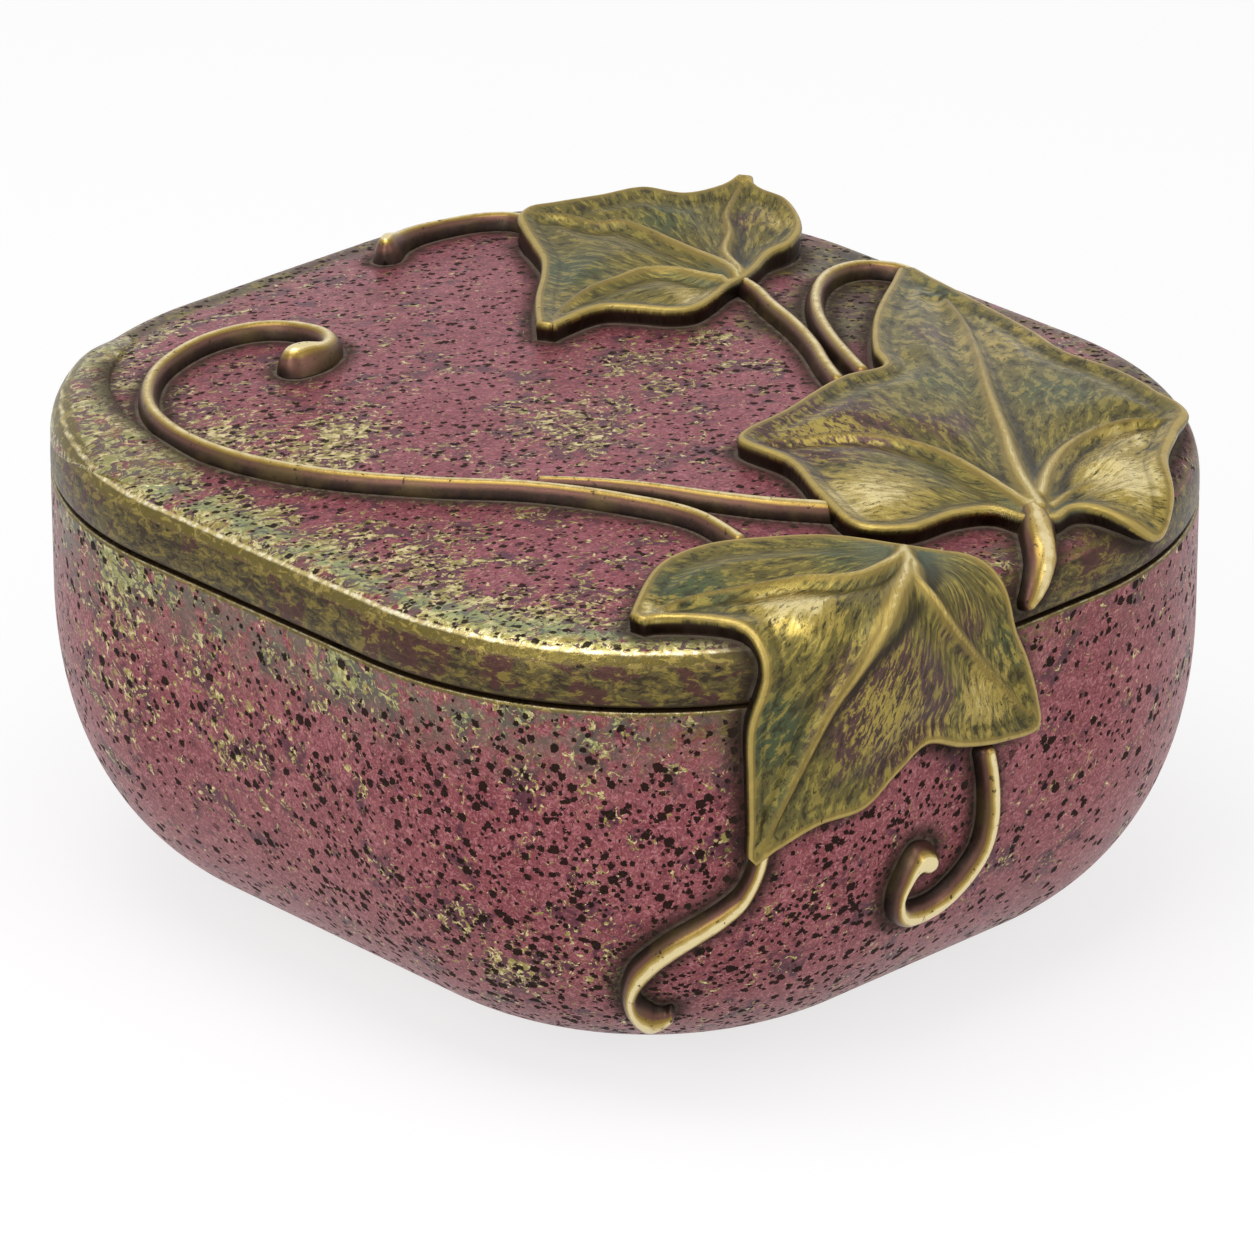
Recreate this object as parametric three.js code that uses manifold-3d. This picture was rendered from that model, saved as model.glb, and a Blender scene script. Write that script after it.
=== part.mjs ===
// Jewellery box in cast metal: a bulging body, a hinged lid and ivy ornament in high relief.
// Units are millimetres. +Z is up and the front is -Y. The origin is the middle of the face that it rests on.
import * as THREE from 'three';
import { mergeVertices } from 'three/addons/utils/BufferGeometryUtils.js';
import Module from 'manifold-3d';

const wasm = await Module();
wasm.setup();

// Closed box: size at the seam between body and lid
const WIDTH = 160;
const DEPTH = 174;
const CORNER_R = 60.5; // plan radius of the corners
const SEAM_Z = 72; // middle of the seam
const SEAM_GAP = 0.4;
const FIT = 0.3; // gap kept between separate pieces

// Body: upright under the seam, then curving in to a smaller foot
const UPRIGHT = 20; // height of the upright wall
const BELLY_PULL = 44; // how strongly the curve holds the wall's direction
const FOOT_INSET = 41; // foot's edge inside the seam's edge
const FOOT_PULL = 11;
const BODY_WALL = 3.5;
const RIM_WIDTH = 5.5; // the wall thickens inwards to carry the hinge and the lip
const RIM_DEPTH = 9;
const LIP_WIDTH = 1.2; // upstanding lip that locates the lid
const LIP_HEIGHT = 2;

// Lid: short side, rounded edge and a low dome
const LID_SIDE = 1;
const EDGE_IN = 7; // rounded edge, measured inwards
const EDGE_UP = 9.2; // rounded edge, measured upwards
const EDGE_POWER = 3; // 2 is an ellipse, and more makes the edge squarer
const DOME = 3;
const LID_RIM = 3.7;
const LID_TOP = 3.2;

// Linings and the felt under the foot
const FELT_INSET = 2.5; // felt's edge inside the foot's edge
const FELT_THICK = 1.2;
const FELT_PROUD = 0.3;
const PAD_THICK = 2.5;
const LINING_THICK = 1.7;
const LID_PAD_THICK = 2.6;

// Hinge on the back: two leaves let into the rims, one pin, and a stop that holds the lid open
const HINGE_LENGTH = 38;
const KNUCKLES = 5;
const KNUCKLE_R = 2.4;
const KNUCKLE_GAP = 0.3;
const AXIS_OUT = 2.8; // pin's axis behind the back wall
const PIN_R = 1;
const PIN_PLAY = 0.05;
const HINGE_PLATE = 1.3;
const HINGE_DEEP = 5.2; // how far a leaf reaches in from the back wall
const HINGE_BACK = 0.1; // leaf's back edge inside the back wall
const BOSS_DEEP = 7; // block inside the lid that takes the screws
const OPEN_ANGLE = 95;
const STOP_SLACK = 1; // degrees left between the stop's faces
const STOP_TILT = 55; // stop's face on the body, below level
const STOP_REACH = 4.8;
const STOP_THICK = 1.2;

// Countersunk hinge screws
const SCREWS_PER_LEAF = 3;
const SCREW_PITCH = 13;
const SCREW_HEAD_R = 1.45;
const SCREW_HEAD = 0.8;
const SCREW_SHANK_R = 0.7;
const SCREW_TIP_R = 0.3;
const SCREW_LENGTH = 5;
const SLOT_WIDTH = 0.5;
const SLOT_DEPTH = 0.35;

// Relief: heights above the metal under it
const LEAF_EDGE = 3.6;
const LEAF_BLADE = 2.6; // just inside the edge
const LEAF_CROWN = 1.1; // extra in the middle of the blade
const STEM_WIDE = 3.4;
const STEM_HIGH = 2.9;
const ROOT = 1.6; // relief is drawn this far into the metal, then cut back to it
const CLEARED = 12; // height cleared above a leaf when a neighbour is cut back from it
const SWELL_HIGH = 1.4; // raised border round the lid's left corner
const SWELL_WIDE = 14;
const SWELL_SINK = 0.25; // its edges run this far under the lid's skin
const OVERHANG_EASE = 0.025; // extra gap under the front leaf for each mm below the seam
const CURL_START = 45; // back leaf lifts off the lid past this distance towards the back right corner
const CURL_RATE = 0.004;
const CURL_HEADING = 46.4; // degrees from +X
const DRAWN_ACROSS = 87.8; // ornament is drawn for a skin this far from the lid's middle to the side seam
const DRAWN_ALONG = 94.8; // and this far to the front seam
const DRAWN_FRONT = 94.4; // w is measured from this far in front of the lid's middle
const CURL_EASE = 1.3; // leaf's underside rises faster than its top until the root is out of the metal

// How finely curves are divided
const ARC_STEPS = 10;
const EDGE_STEPS = 5;
const DOME_STEPS = 3;
const BELLY_STEPS = 9;
const SHEET_STEPS = 48;
const STEM_STEP = 3.5;
const ROUND_STEPS = 24;
const SCREW_STEPS = 12;

const halfX = WIDTH / 2 - CORNER_R; // inner rectangle that every level of the box grows from
const halfY = DEPTH / 2 - CORNER_R;
const footR = CORNER_R - FOOT_INSET;
const lidTopR = CORNER_R - EDGE_IN;
const bodyTop = SEAM_Z - SEAM_GAP / 2;
const lidBottom = SEAM_Z + SEAM_GAP / 2;
const edgeTop = SEAM_Z + LID_SIDE + EDGE_UP;
const axisY = DEPTH / 2 + AXIS_OUT;
const screwY = DEPTH / 2 - HINGE_DEEP / 2;

const lustre = new THREE.MeshStandardMaterial({ color: 0x8c4a60, roughness: 0.42, metalness: 0.75 });
const brass = new THREE.MeshStandardMaterial({ color: 0x8d7a3c, roughness: 0.38, metalness: 0.9 });
const fabric = new THREE.MeshStandardMaterial({ color: 0x3d2a33, roughness: 0.95, metalness: 0 });
const felt = new THREE.MeshStandardMaterial({ color: 0x23281f, roughness: 1, metalness: 0 });
const steel = new THREE.MeshStandardMaterial({ color: 0x8b8b86, roughness: 0.35, metalness: 1 });

// Profiles are lists of [radius, height], where the radius is measured out from the inner rectangle

function lidOuter(domeSteps, edgeSteps) {
  const points = [];
  for (let i = 0; i <= domeSteps; i++) {
    const share = i / domeSteps;
    points.push([lidTopR * share, edgeTop + DOME * (1 - share ** 2)]);
  }
  for (let i = 1; i <= edgeSteps; i++) {
    const a = (Math.PI / 2) * (i / edgeSteps);
    const out = Math.sin(a) ** (2 / EDGE_POWER);
    const up = i < edgeSteps ? Math.cos(a) ** (2 / EDGE_POWER) : 0;
    points.push([lidTopR + EDGE_IN * out, SEAM_Z + LID_SIDE + EDGE_UP * up]);
  }
  return points;
}

function bodyOuter(steps) {
  const curve = new THREE.CubicBezierCurve(
    new THREE.Vector2(CORNER_R, SEAM_Z - UPRIGHT),
    new THREE.Vector2(CORNER_R, SEAM_Z - UPRIGHT - BELLY_PULL),
    new THREE.Vector2(footR + FOOT_PULL, FELT_PROUD),
    new THREE.Vector2(footR, FELT_PROUD),
  );
  return curve.getSpacedPoints(steps).map((p) => [p.x, p.y]);
}

// Moves an open profile sideways; a positive distance grows it, for one that runs outwards and down
function offset(profile, distance) {
  return profile.map(([r, z], i) => {
    const [r0, z0] = profile[Math.max(i - 1, 0)];
    const [r1, z1] = profile[Math.min(i + 1, profile.length - 1)];
    const length = Math.hypot(r1 - r0, z1 - z0);
    const by = typeof distance === 'function' ? distance(z) : distance;
    return [r + (by * (z0 - z1)) / length, z + (by * (r1 - r0)) / length];
  });
}

// Part of a falling profile between two heights, with its ends exactly on them
function between(profile, top, bottom) {
  const kept = [];
  const at = (z) => {
    const i = profile.findIndex((p) => p[1] <= z);
    const [r0, z0] = profile[i - 1];
    const [r1, z1] = profile[i];
    return [r0 + ((r1 - r0) * (z0 - z)) / (z0 - z1), z];
  };
  kept.push(at(top));
  profile.forEach((p) => {
    if (p[1] < top && p[1] > bottom) kept.push(p);
  });
  kept.push(at(bottom));
  return kept;
}

// Closed geometry from points and triangles, merged, without empty triangles and facing out
function closedGeometry(points, triangles) {
  const loose = new THREE.BufferGeometry();
  loose.setAttribute('position', new THREE.Float32BufferAttribute(points.flat(), 3));
  loose.setIndex(triangles.flat());
  const merged = mergeVertices(loose, 1e-4);
  const position = merged.attributes.position;
  const index = merged.index.array;
  const kept = [];
  let volume = 0;
  for (let i = 0; i < index.length; i += 3) {
    const [a, b, c] = [index[i], index[i + 1], index[i + 2]];
    if (a === b || b === c || c === a) continue;
    kept.push([a, b, c]);
    const corners = [a, b, c].map((k) => new THREE.Vector3().fromBufferAttribute(position, k));
    volume += corners[0].dot(corners[1].cross(corners[2]));
  }
  if (volume < 0) kept.forEach((t) => t.reverse());
  merged.setIndex(kept.flat());
  return merged;
}

function toSolid(geometry) {
  const bare = geometry.clone();
  bare.deleteAttribute('normal');
  bare.deleteAttribute('uv');
  const merged = mergeVertices(bare, 1e-4);
  return new wasm.Manifold(new wasm.Mesh({
    numProp: 3,
    vertProperties: new Float32Array(merged.attributes.position.array),
    triVerts: new Uint32Array(merged.index.array),
  }));
}

function toGeometry(solid) {
  const mesh = solid.getMesh();
  const geometry = new THREE.BufferGeometry();
  geometry.setAttribute('position', new THREE.BufferAttribute(mesh.vertProperties, 3));
  geometry.setIndex(new THREE.BufferAttribute(mesh.triVerts, 1));
  return geometry;
}

// A cut can leave a stray crumb, so only the largest piece is kept
function mainPiece(solid) {
  const pieces = solid.decompose();
  return pieces.reduce((best, piece) => (piece.volume() > best.volume() ? piece : best));
}

// Solid whose every level is the inner rectangle grown by the profile's radius.
// The profile goes all the way round the section, or starts and ends in the middle at radius 0.
function grownBody(profile) {
  const corners = [[1, 1], [-1, 1], [-1, -1], [1, -1]];
  const size = corners.length * (ARC_STEPS + 1);
  const closed = profile[0][0] > 0;
  const points = [];
  profile.forEach(([r, z]) => {
    corners.forEach(([sx, sy], k) => {
      for (let j = 0; j <= ARC_STEPS; j++) {
        const a = (Math.PI / 2) * (k + j / ARC_STEPS);
        points.push([sx * halfX + r * Math.cos(a), sy * halfY + r * Math.sin(a), z]);
      }
    });
  });
  const triangles = [];
  const bands = closed ? profile.length : profile.length - 1;
  for (let i = 0; i < bands; i++) {
    const low = i * size;
    const high = ((i + 1) % profile.length) * size;
    for (let j = 0; j < size; j++) {
      const next = (j + 1) % size;
      triangles.push([low + j, low + next, high + next], [low + j, high + next, high + j]);
    }
  }
  if (!closed) {
    [0, profile.length - 1].forEach((level) => {
      const first = level * size;
      const middle = points.push([0, 0, profile[level][1]]) - 1;
      for (let j = 0; j < size; j++) {
        const edge = [first + j, first + ((j + 1) % size)];
        triangles.push(level === 0 ? [middle, edge[1], edge[0]] : [middle, ...edge]);
      }
    });
  }
  return closedGeometry(points, triangles);
}

// The box's skin rolled out flat, as seen from above: [u, v] is straight across from the middle of the lid.
// Past the inner rectangle the distance follows the dome, the edge, the wall and the belly down to the foot.
const skin = [...lidOuter(SHEET_STEPS, SHEET_STEPS), ...bodyOuter(SHEET_STEPS)];
const skinOut = offset(skin, 1);
const skinLength = [0];
for (let i = 1; i < skin.length; i++) {
  skinLength.push(skinLength[i - 1] + Math.hypot(skin[i][0] - skin[i - 1][0], skin[i][1] - skin[i - 1][1]));
}
const seamLength = skinLength[skin.findIndex((p) => p[1] < SEAM_Z) - 1] + LID_SIDE;
const acrossScale = (halfX + seamLength) / DRAWN_ACROSS; // ornament follows the box's width and depth
const alongScale = (halfY + seamLength) / DRAWN_ALONG;

// Ornament is drawn as [u, w], where w is the distance up from near the front seam
function onSkin(drawnU, drawnW, height) {
  const u = drawnU * acrossScale;
  const v = (drawnW - DRAWN_FRONT) * alongScale;
  const nearX = THREE.MathUtils.clamp(u, -halfX, halfX);
  const nearY = THREE.MathUtils.clamp(v, -halfY, halfY);
  const away = new THREE.Vector2(u - nearX, v - nearY);
  const distance = away.length();
  if (distance < 1e-6) return [u, v, skin[0][1] + height];
  away.divideScalar(distance);
  let i = skinLength.findIndex((s) => s > distance);
  if (i < 0) i = skin.length - 1;
  const t = (distance - skinLength[i - 1]) / (skinLength[i] - skinLength[i - 1]);
  const mix = (list, k) => list[i - 1][k] * (1 - t) + list[i][k] * t;
  const r = mix(skin, 0) + height * (mix(skinOut, 0) - mix(skin, 0));
  const z = mix(skin, 1) + height * (mix(skinOut, 1) - mix(skin, 1));
  return [nearX + away.x * r, nearY + away.y * r, z];
}

function smoothLoop(outline, perPoint) {
  const curve = new THREE.CatmullRomCurve3(outline.map(([u, w]) => new THREE.Vector3(u, w, 0)), true);
  return curve.getPoints(outline.length * perPoint).slice(0, -1).map((p) => [p.x, p.y]);
}

// Patch of relief inside a loop: spokes from the centre, rings between, a wall and an underside
function patch({ loop, centre, rings, top, under }) {
  const points = [];
  const triangles = [];
  const count = loop.length;
  const face = (height, side) => {
    const middle = points.push(onSkin(...centre, height(...centre, 0))) - 1;
    const first = points.length;
    rings.forEach((share) => loop.forEach(([u, w]) => {
      const at = [centre[0] + (u - centre[0]) * share, centre[1] + (w - centre[1]) * share];
      points.push(onSkin(...at, height(...at, share)));
    }));
    for (let j = 0; j < count; j++) {
      const next = (j + 1) % count;
      const fan = [middle, first + j, first + next];
      triangles.push(side > 0 ? fan : fan.reverse());
      for (let k = 0; k < rings.length - 1; k++) {
        const low = first + k * count;
        const high = low + count;
        const quad = [[low + j, high + j, high + next], [low + j, high + next, low + next]];
        quad.forEach((t) => triangles.push(side > 0 ? t : t.reverse()));
      }
    }
    return first + (rings.length - 1) * count;
  };
  const upper = face(top, 1);
  const lower = face(under, -1);
  for (let j = 0; j < count; j++) {
    const next = (j + 1) % count;
    triangles.push([lower + j, lower + next, upper + next], [lower + j, upper + next, upper + j]);
  }
  return toSolid(closedGeometry(points, triangles));
}

const LEAF_RINGS = [0.25, 0.45, 0.62, 0.78, 0.9, 1];

function leafSolid({ outline, centre, lift }) {
  const blade = (share) => LEAF_BLADE + LEAF_CROWN * (1 - share ** 2);
  return patch({
    loop: smoothLoop(outline, 2),
    centre,
    rings: LEAF_RINGS,
    top: (u, w, share) => lift(u, w) + (share === 1 ? LEAF_EDGE : blade(share)),
    under: (u, w) => Math.min(CURL_EASE * lift(u, w) - ROOT, lift(u, w)),
  });
}

// Room that a leaf takes from its neighbours: its outline grown by a margin, deep and high
function leafRoom({ outline, centre }, margin) {
  const loop = smoothLoop(outline, 2);
  const grown = loop.map(([u, w], i) => {
    const before = loop.at(i - 1);
    const after = loop[(i + 1) % loop.length];
    const length = Math.hypot(after[0] - before[0], after[1] - before[1]);
    const [right, back] = [(after[1] - before[1]) / length, (before[0] - after[0]) / length];
    return [u + margin * right, w + margin * back];
  });
  return patch({ loop: grown, centre, rings: LEAF_RINGS, top: () => CLEARED, under: () => -2 * ROOT });
}

// Sections across a stem, from its left to its right: [share of half width, share of height]
const HALF_ROUND = [[-1, 0.3], [-0.72, 0.78], [0, 1], [0.72, 0.78], [1, 0.3]];
const SWELL = [[-1, 0.3], [-0.9, 0.85], [-0.55, 1], [0, 0.85], [0.5, 0.45], [1, 0]];

// A bulb's stations, in bulb radii from the start, and where the plain stem takes over
const BULB_STATIONS = [0.12, 0.5, 1, 1.5, 1.9];
const BULB_END = 2.3;

// Value at a share of the way along a list of evenly spread values
function spread(values, share) {
  const place = share * (values.length - 1);
  const i = Math.min(Math.floor(place), values.length - 2);
  return THREE.MathUtils.lerp(values[i], values[i + 1], place - i);
}

// Stem or tendril along a route. A bulb is a swollen, rounded end at the route's start.
function stemSolid({ route, wide = [STEM_WIDE, STEM_WIDE], high = [STEM_HIGH, STEM_HIGH], ...shape }) {
  const { bulb = 0, grow = 0, sink = 0, section = HALF_ROUND } = shape;
  const curve = new THREE.CatmullRomCurve3(route.map(([u, w]) => new THREE.Vector3(u, w, 0)));
  curve.arcLengthDivisions = 400;
  const length = curve.getLength();
  const clear = BULB_END * bulb;
  const steps = Math.round(length / STEM_STEP);
  const stations = bulb ? BULB_STATIONS.map((k) => k * bulb) : [];
  for (let i = 0; i <= steps; i++) stations.push(clear + ((length - clear) * i) / steps);
  const across = [[-1, null], ...section, [1, null]]; // both sides start down in the metal
  const points = [];
  stations.forEach((distance) => {
    const share = Math.min(distance / length, 1);
    const p = curve.getPointAt(share);
    const t = curve.getTangentAt(share);
    const half = spread(wide, share) / 2;
    const round = bulb && distance < 2 * bulb ? Math.sqrt(bulb ** 2 - (bulb - distance) ** 2) : 0;
    const neck = bulb && distance < bulb ? 0 : half;
    const size = Math.max(round, neck) + grow;
    const rise = (size / half) * spread(high, share);
    across.forEach(([a, b]) => {
      const height = b === null ? -ROOT - grow : b * rise - sink;
      points.push(onSkin(p.x + t.y * a * size, p.y - t.x * a * size, height));
    });
  });
  const size = across.length;
  const triangles = [];
  for (let i = 0; i < stations.length - 1; i++) {
    for (let j = 0; j < size; j++) {
      const next = (j + 1) % size;
      const here = i * size;
      const there = here + size;
      triangles.push([here + j, here + next, there + next], [here + j, there + next, there + j]);
    }
  }
  const last = (stations.length - 1) * size;
  for (let j = 1; j < size - 1; j++) {
    triangles.push([0, j + 1, j], [last, last + j, last + j + 1]);
  }
  return toSolid(closedGeometry(points, triangles));
}

// Ornament, traced on the rolled-out skin as [u, w]

const flat = () => 0;

function backCurl(u, w) {
  const heading = THREE.MathUtils.degToRad(CURL_HEADING);
  const along = u * Math.cos(heading) + (w - DRAWN_FRONT) * Math.sin(heading);
  return CURL_RATE * Math.max(along - CURL_START, 0) ** 2;
}

const frontLeaf = {
  centre: [-27, 12],
  lift: flat,
  outline: [
    [-11, 21], [-17.5, 29.5], [-25.5, 35], [-34.5, 39.5], [-43.5, 40], [-53.5, 35], [-60, 29.5],
    [-56.5, 27.5], [-51.5, 22.5], [-48, 17], [-48.5, 13], [-55, 6.5], [-59, -0.5], [-63, -8],
    [-66, -14], [-59, -15], [-49, -16], [-38, -18], [-29, -15], [-21, -12.5], [-13, -15.5],
    [-4, -17.5], [4.5, -17.5], [4, -12], [1.5, -4.5], [-1.5, 2], [-3, 9], [-6, 14],
  ],
};

const sideLeaf = {
  centre: [18, 28.5],
  lift: flat,
  outline: [
    [15, 12], [20, 12.5], [25.5, 8.5], [32.5, 6], [38, 10], [44.5, 16.5], [54, 23], [61.5, 28.5],
    [63.5, 36], [64.5, 45], [63, 56], [65.5, 65.5], [68.5, 80.5], [71, 94], [72, 102], [63, 96.5],
    [48.5, 86], [38, 75.5], [34, 69.5], [26, 70.5], [9.5, 67], [-4, 64], [-4.5, 52], [-9, 41],
    [-12, 29], [-6, 23.5], [3.5, 22.5], [9, 20], [11, 15],
  ],
};

const backLeaf = {
  centre: [38, 124.5],
  lift: backCurl,
  outline: [
    [50, 114.5], [56, 117.5], [62, 118.5], [68, 122.5], [72, 130.5], [71, 135.5], [72.5, 140.5],
    [66, 140.5], [60, 142.5], [56, 148.5], [49, 151.5], [39, 155.5], [35.5, 157], [34.5, 150.5],
    [31, 143.5], [21.5, 136.5], [13, 129], [7, 122.5], [3, 117], [9, 118], [18, 118], [21.5, 114.5],
    [25, 109.5], [29, 107.5], [35, 109], [41, 111.5], [45, 112.5],
  ],
};

const sideStalk = {
  route: [[16, 20], [13.5, 15], [10, 11], [6, 6.5], [2.2, 2.4]],
};

const scroll = {
  bulb: 2.9,
  wide: [5, ...Array(7).fill(STEM_WIDE)],
  high: [4.2, ...Array(7).fill(STEM_HIGH)],
  route: [
    [-34.3, 139.2], [-31.2, 138.6], [-26.4, 138], [-22.6, 139.8], [-20.6, 143.3], [-20.5, 147.5],
    [-22.3, 152.2], [-26.5, 155.8], [-35.5, 157.4], [-48, 153.5],
    [-57.5, 144.5], [-62, 132.5], [-62, 119], [-57, 103], [-48, 87.5], [-38.5, 74.5], [-31.5, 60.5],
    [-27.5, 49], [-28.5, 37],
  ],
};

const stub = {
  wide: [2.4, 4.2],
  route: [[-37, 76], [-31, 68.5], [-26, 61], [-21.5, 53], [-16, 45], [-6, 34]],
};

const backTendril = {
  bulb: 2.3,
  wide: [4, 3.2, 3.4],
  high: [3.7, 2.9, 2.9],
  route: [
    [12.8, 165.6], [16, 168], [20.1, 169.6], [24.6, 170.2], [30.3, 169.3], [35.7, 167.4],
    [39.5, 164], [40.4, 160], [39.5, 153],
  ],
};

const backStem = {
  route: [
    [46.5, 118], [44, 108.5], [41.5, 103], [37.5, 92.5], [33.5, 84.5], [29.5, 78], [25.5, 71], [22, 64],
  ],
};

const loopStem = {
  route: [
    [71, 96], [72, 102.5], [69.4, 106.4], [66.5, 107.9], [61.4, 107.8], [55.2, 105], [49.3, 100.2],
    [43.8, 93.9], [38.7, 86], [34.4, 77.6], [30.5, 68],
  ],
};

const tipTendril = {
  wide: [4, 4, 4.2, 4.8, 6, 5.6, 2.4],
  route: [
    [-60, -12], [-64.2, -16.4], [-69.7, -19.1], [-75.1, -19.1], [-81.7, -17.8], [-90, -15.4],
    [-97.6, -13.5], [-103.3, -12.9], [-107.2, -14.4], [-108.8, -18.2], [-107.5, -23.9],
    [-103.5, -27.9], [-98.8, -29.2],
  ],
};

const curlTendril = {
  bulb: 2.7,
  wide: [4.6, 3.6, 3.5, 3.5],
  high: [4, 3, 2.9, 2.9],
  route: [
    [-16.2, -36], [-18.2, -33.8], [-21.2, -33.2], [-24, -35.4], [-26, -38.6], [-24.4, -41.8],
    [-18.4, -44.3], [-13, -44], [-8.4, -41], [-5.2, -36.8], [-4.2, -32], [-4.6, -26], [-5.8, -20],
    [-8.5, -13],
  ],
};

const cornerSwell = {
  section: SWELL,
  sink: SWELL_SINK,
  wide: [SWELL_WIDE, SWELL_WIDE],
  high: [0, SWELL_HIGH, SWELL_HIGH, SWELL_HIGH, SWELL_HIGH, SWELL_HIGH / 2, 0],
  route: [
    [-37, 178], [-45, 175], [-52.5, 170], [-58.6, 164], [-63.4, 157], [-67, 149.5], [-69, 141.5],
    [-70, 132], [-70, 122],
  ],
};

// Space that the box itself takes from the ornament on it
const boxProfile = [...lidOuter(DOME_STEPS, EDGE_STEPS), ...bodyOuter(BELLY_STEPS)];
const middleTop = [0, edgeTop + DOME + FIT];
const middleFoot = [0, FELT_PROUD];
const lidOrnamentGap = (z) => FIT + OVERHANG_EASE * Math.max(SEAM_Z - z, 0);
function roomAround(gap) {
  return toSolid(grownBody([middleTop, ...offset(boxProfile, gap).slice(1), middleFoot]));
}
const roomOfBox = roomAround(lidOrnamentGap);
const roomOfBody = roomAround(FIT);

function cutBack(solid, ...rooms) {
  return toGeometry(mainPiece(rooms.reduce((rest, room) => rest.subtract(room), solid)));
}

const frontRoom = leafRoom(frontLeaf, FIT);
const sideRoom = leafRoom(sideLeaf, FIT);
const backRoom = leafRoom(backLeaf, FIT);
const scrollRoom = stemSolid({ ...scroll, high: [CLEARED, CLEARED], grow: FIT });
const backStemRoom = stemSolid({ ...backStem, high: [CLEARED, CLEARED], grow: FIT });

const stalkedSideLeaf = leafSolid(sideLeaf).add(stemSolid(sideStalk));
const frontLeafGeometry = cutBack(leafSolid(frontLeaf), roomOfBox);
const sideLeafGeometry = cutBack(stalkedSideLeaf, roomOfBox, frontRoom);
const backLeafGeometry = cutBack(leafSolid(backLeaf), roomOfBox);
const scrollGeometry = cutBack(stemSolid(scroll), roomOfBox, frontRoom);
const stubGeometry = cutBack(stemSolid(stub), roomOfBox, scrollRoom, sideRoom);
const backTendrilGeometry = cutBack(stemSolid(backTendril), roomOfBox, backRoom);
const backStemGeometry = cutBack(stemSolid(backStem), roomOfBox, backRoom, sideRoom);
const loopStemGeometry = cutBack(stemSolid(loopStem), roomOfBox, backStemRoom, sideRoom);
const tipTendrilGeometry = cutBack(stemSolid(tipTendril), roomOfBody, frontRoom);
const curlTendrilGeometry = cutBack(stemSolid(curlTendril), roomOfBody, frontRoom);

// Hinge helpers: solids placed from their extents, and round bars along the pin or upright

function block([x0, x1], [y0, y1], [z0, z1]) {
  const box = new THREE.BoxGeometry(x1 - x0, y1 - y0, z1 - z0);
  return toSolid(box.translate((x0 + x1) / 2, (y0 + y1) / 2, (z0 + z1) / 2));
}

function barAlongX(radius, x0, x1, y, z) {
  const bar = new THREE.CylinderGeometry(radius, radius, x1 - x0, ROUND_STEPS);
  return toSolid(bar.rotateZ(Math.PI / 2).translate((x0 + x1) / 2, y, z));
}

const screwXs = [];
for (let i = 0; i < SCREWS_PER_LEAF; i++) screwXs.push(SCREW_PITCH * (i - (SCREWS_PER_LEAF - 1) / 2));

const knuckleLength = (HINGE_LENGTH - (KNUCKLES - 1) * KNUCKLE_GAP) / KNUCKLES;
function knuckleSpan(i) {
  const start = -HINGE_LENGTH / 2 + i * (knuckleLength + KNUCKLE_GAP);
  return [start, start + knuckleLength];
}

// Round bar or cone along Y, from its top radius and height to its bottom ones
function turned([r1, y1], [r0, y0]) {
  return new THREE.CylinderGeometry(r1, r0, y1 - y0, SCREW_STEPS).translate(0, (y1 + y0) / 2, 0);
}

// Screw pointing down from its flat head at height 0
function screwGeometry() {
  const head = turned([SCREW_HEAD_R, 0], [SCREW_SHANK_R, -SCREW_HEAD]);
  const shank = turned([SCREW_SHANK_R, -SCREW_HEAD / 2], [SCREW_TIP_R, -SCREW_LENGTH]);
  const [solidHead, solidShank] = [head, shank].map((g) => toSolid(g.rotateX(Math.PI / 2)));
  const reach = 2 * SCREW_HEAD_R;
  const slot = block([-reach, reach], [-SLOT_WIDTH / 2, SLOT_WIDTH / 2], [-SLOT_DEPTH, SLOT_DEPTH]);
  return toGeometry(solidHead.add(solidShank).subtract(slot));
}

// Clearance for a screw: a straight hole and a countersink, grown by the fit
function screwHole(x, z, up) {
  const r = SCREW_SHANK_R + FIT;
  const long = SCREW_LENGTH + FIT;
  const sink = turned([SCREW_HEAD_R + 2 * FIT, FIT], [r, -SCREW_HEAD]);
  const turn = ((up ? 1 : -1) * Math.PI) / 2;
  const parts = [turned([r, long], [r, -long]), sink];
  const [shank, countersink] = parts.map((g) => toSolid(g.rotateX(turn).translate(x, screwY, z)));
  return shank.add(countersink);
}

// Bar of the stop, standing out from the barrel at an angle above level; its web joins it to a knuckle
function stopBar(angle, side, [x0, x1], inner) {
  const bar = new THREE.BoxGeometry(x1 - x0, STOP_REACH - inner, STOP_THICK);
  bar.translate((x0 + x1) / 2, (STOP_REACH + inner) / 2, (side * STOP_THICK) / 2);
  return toSolid(bar.rotateX(THREE.MathUtils.degToRad(angle)).translate(0, axisY, SEAM_Z));
}

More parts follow.
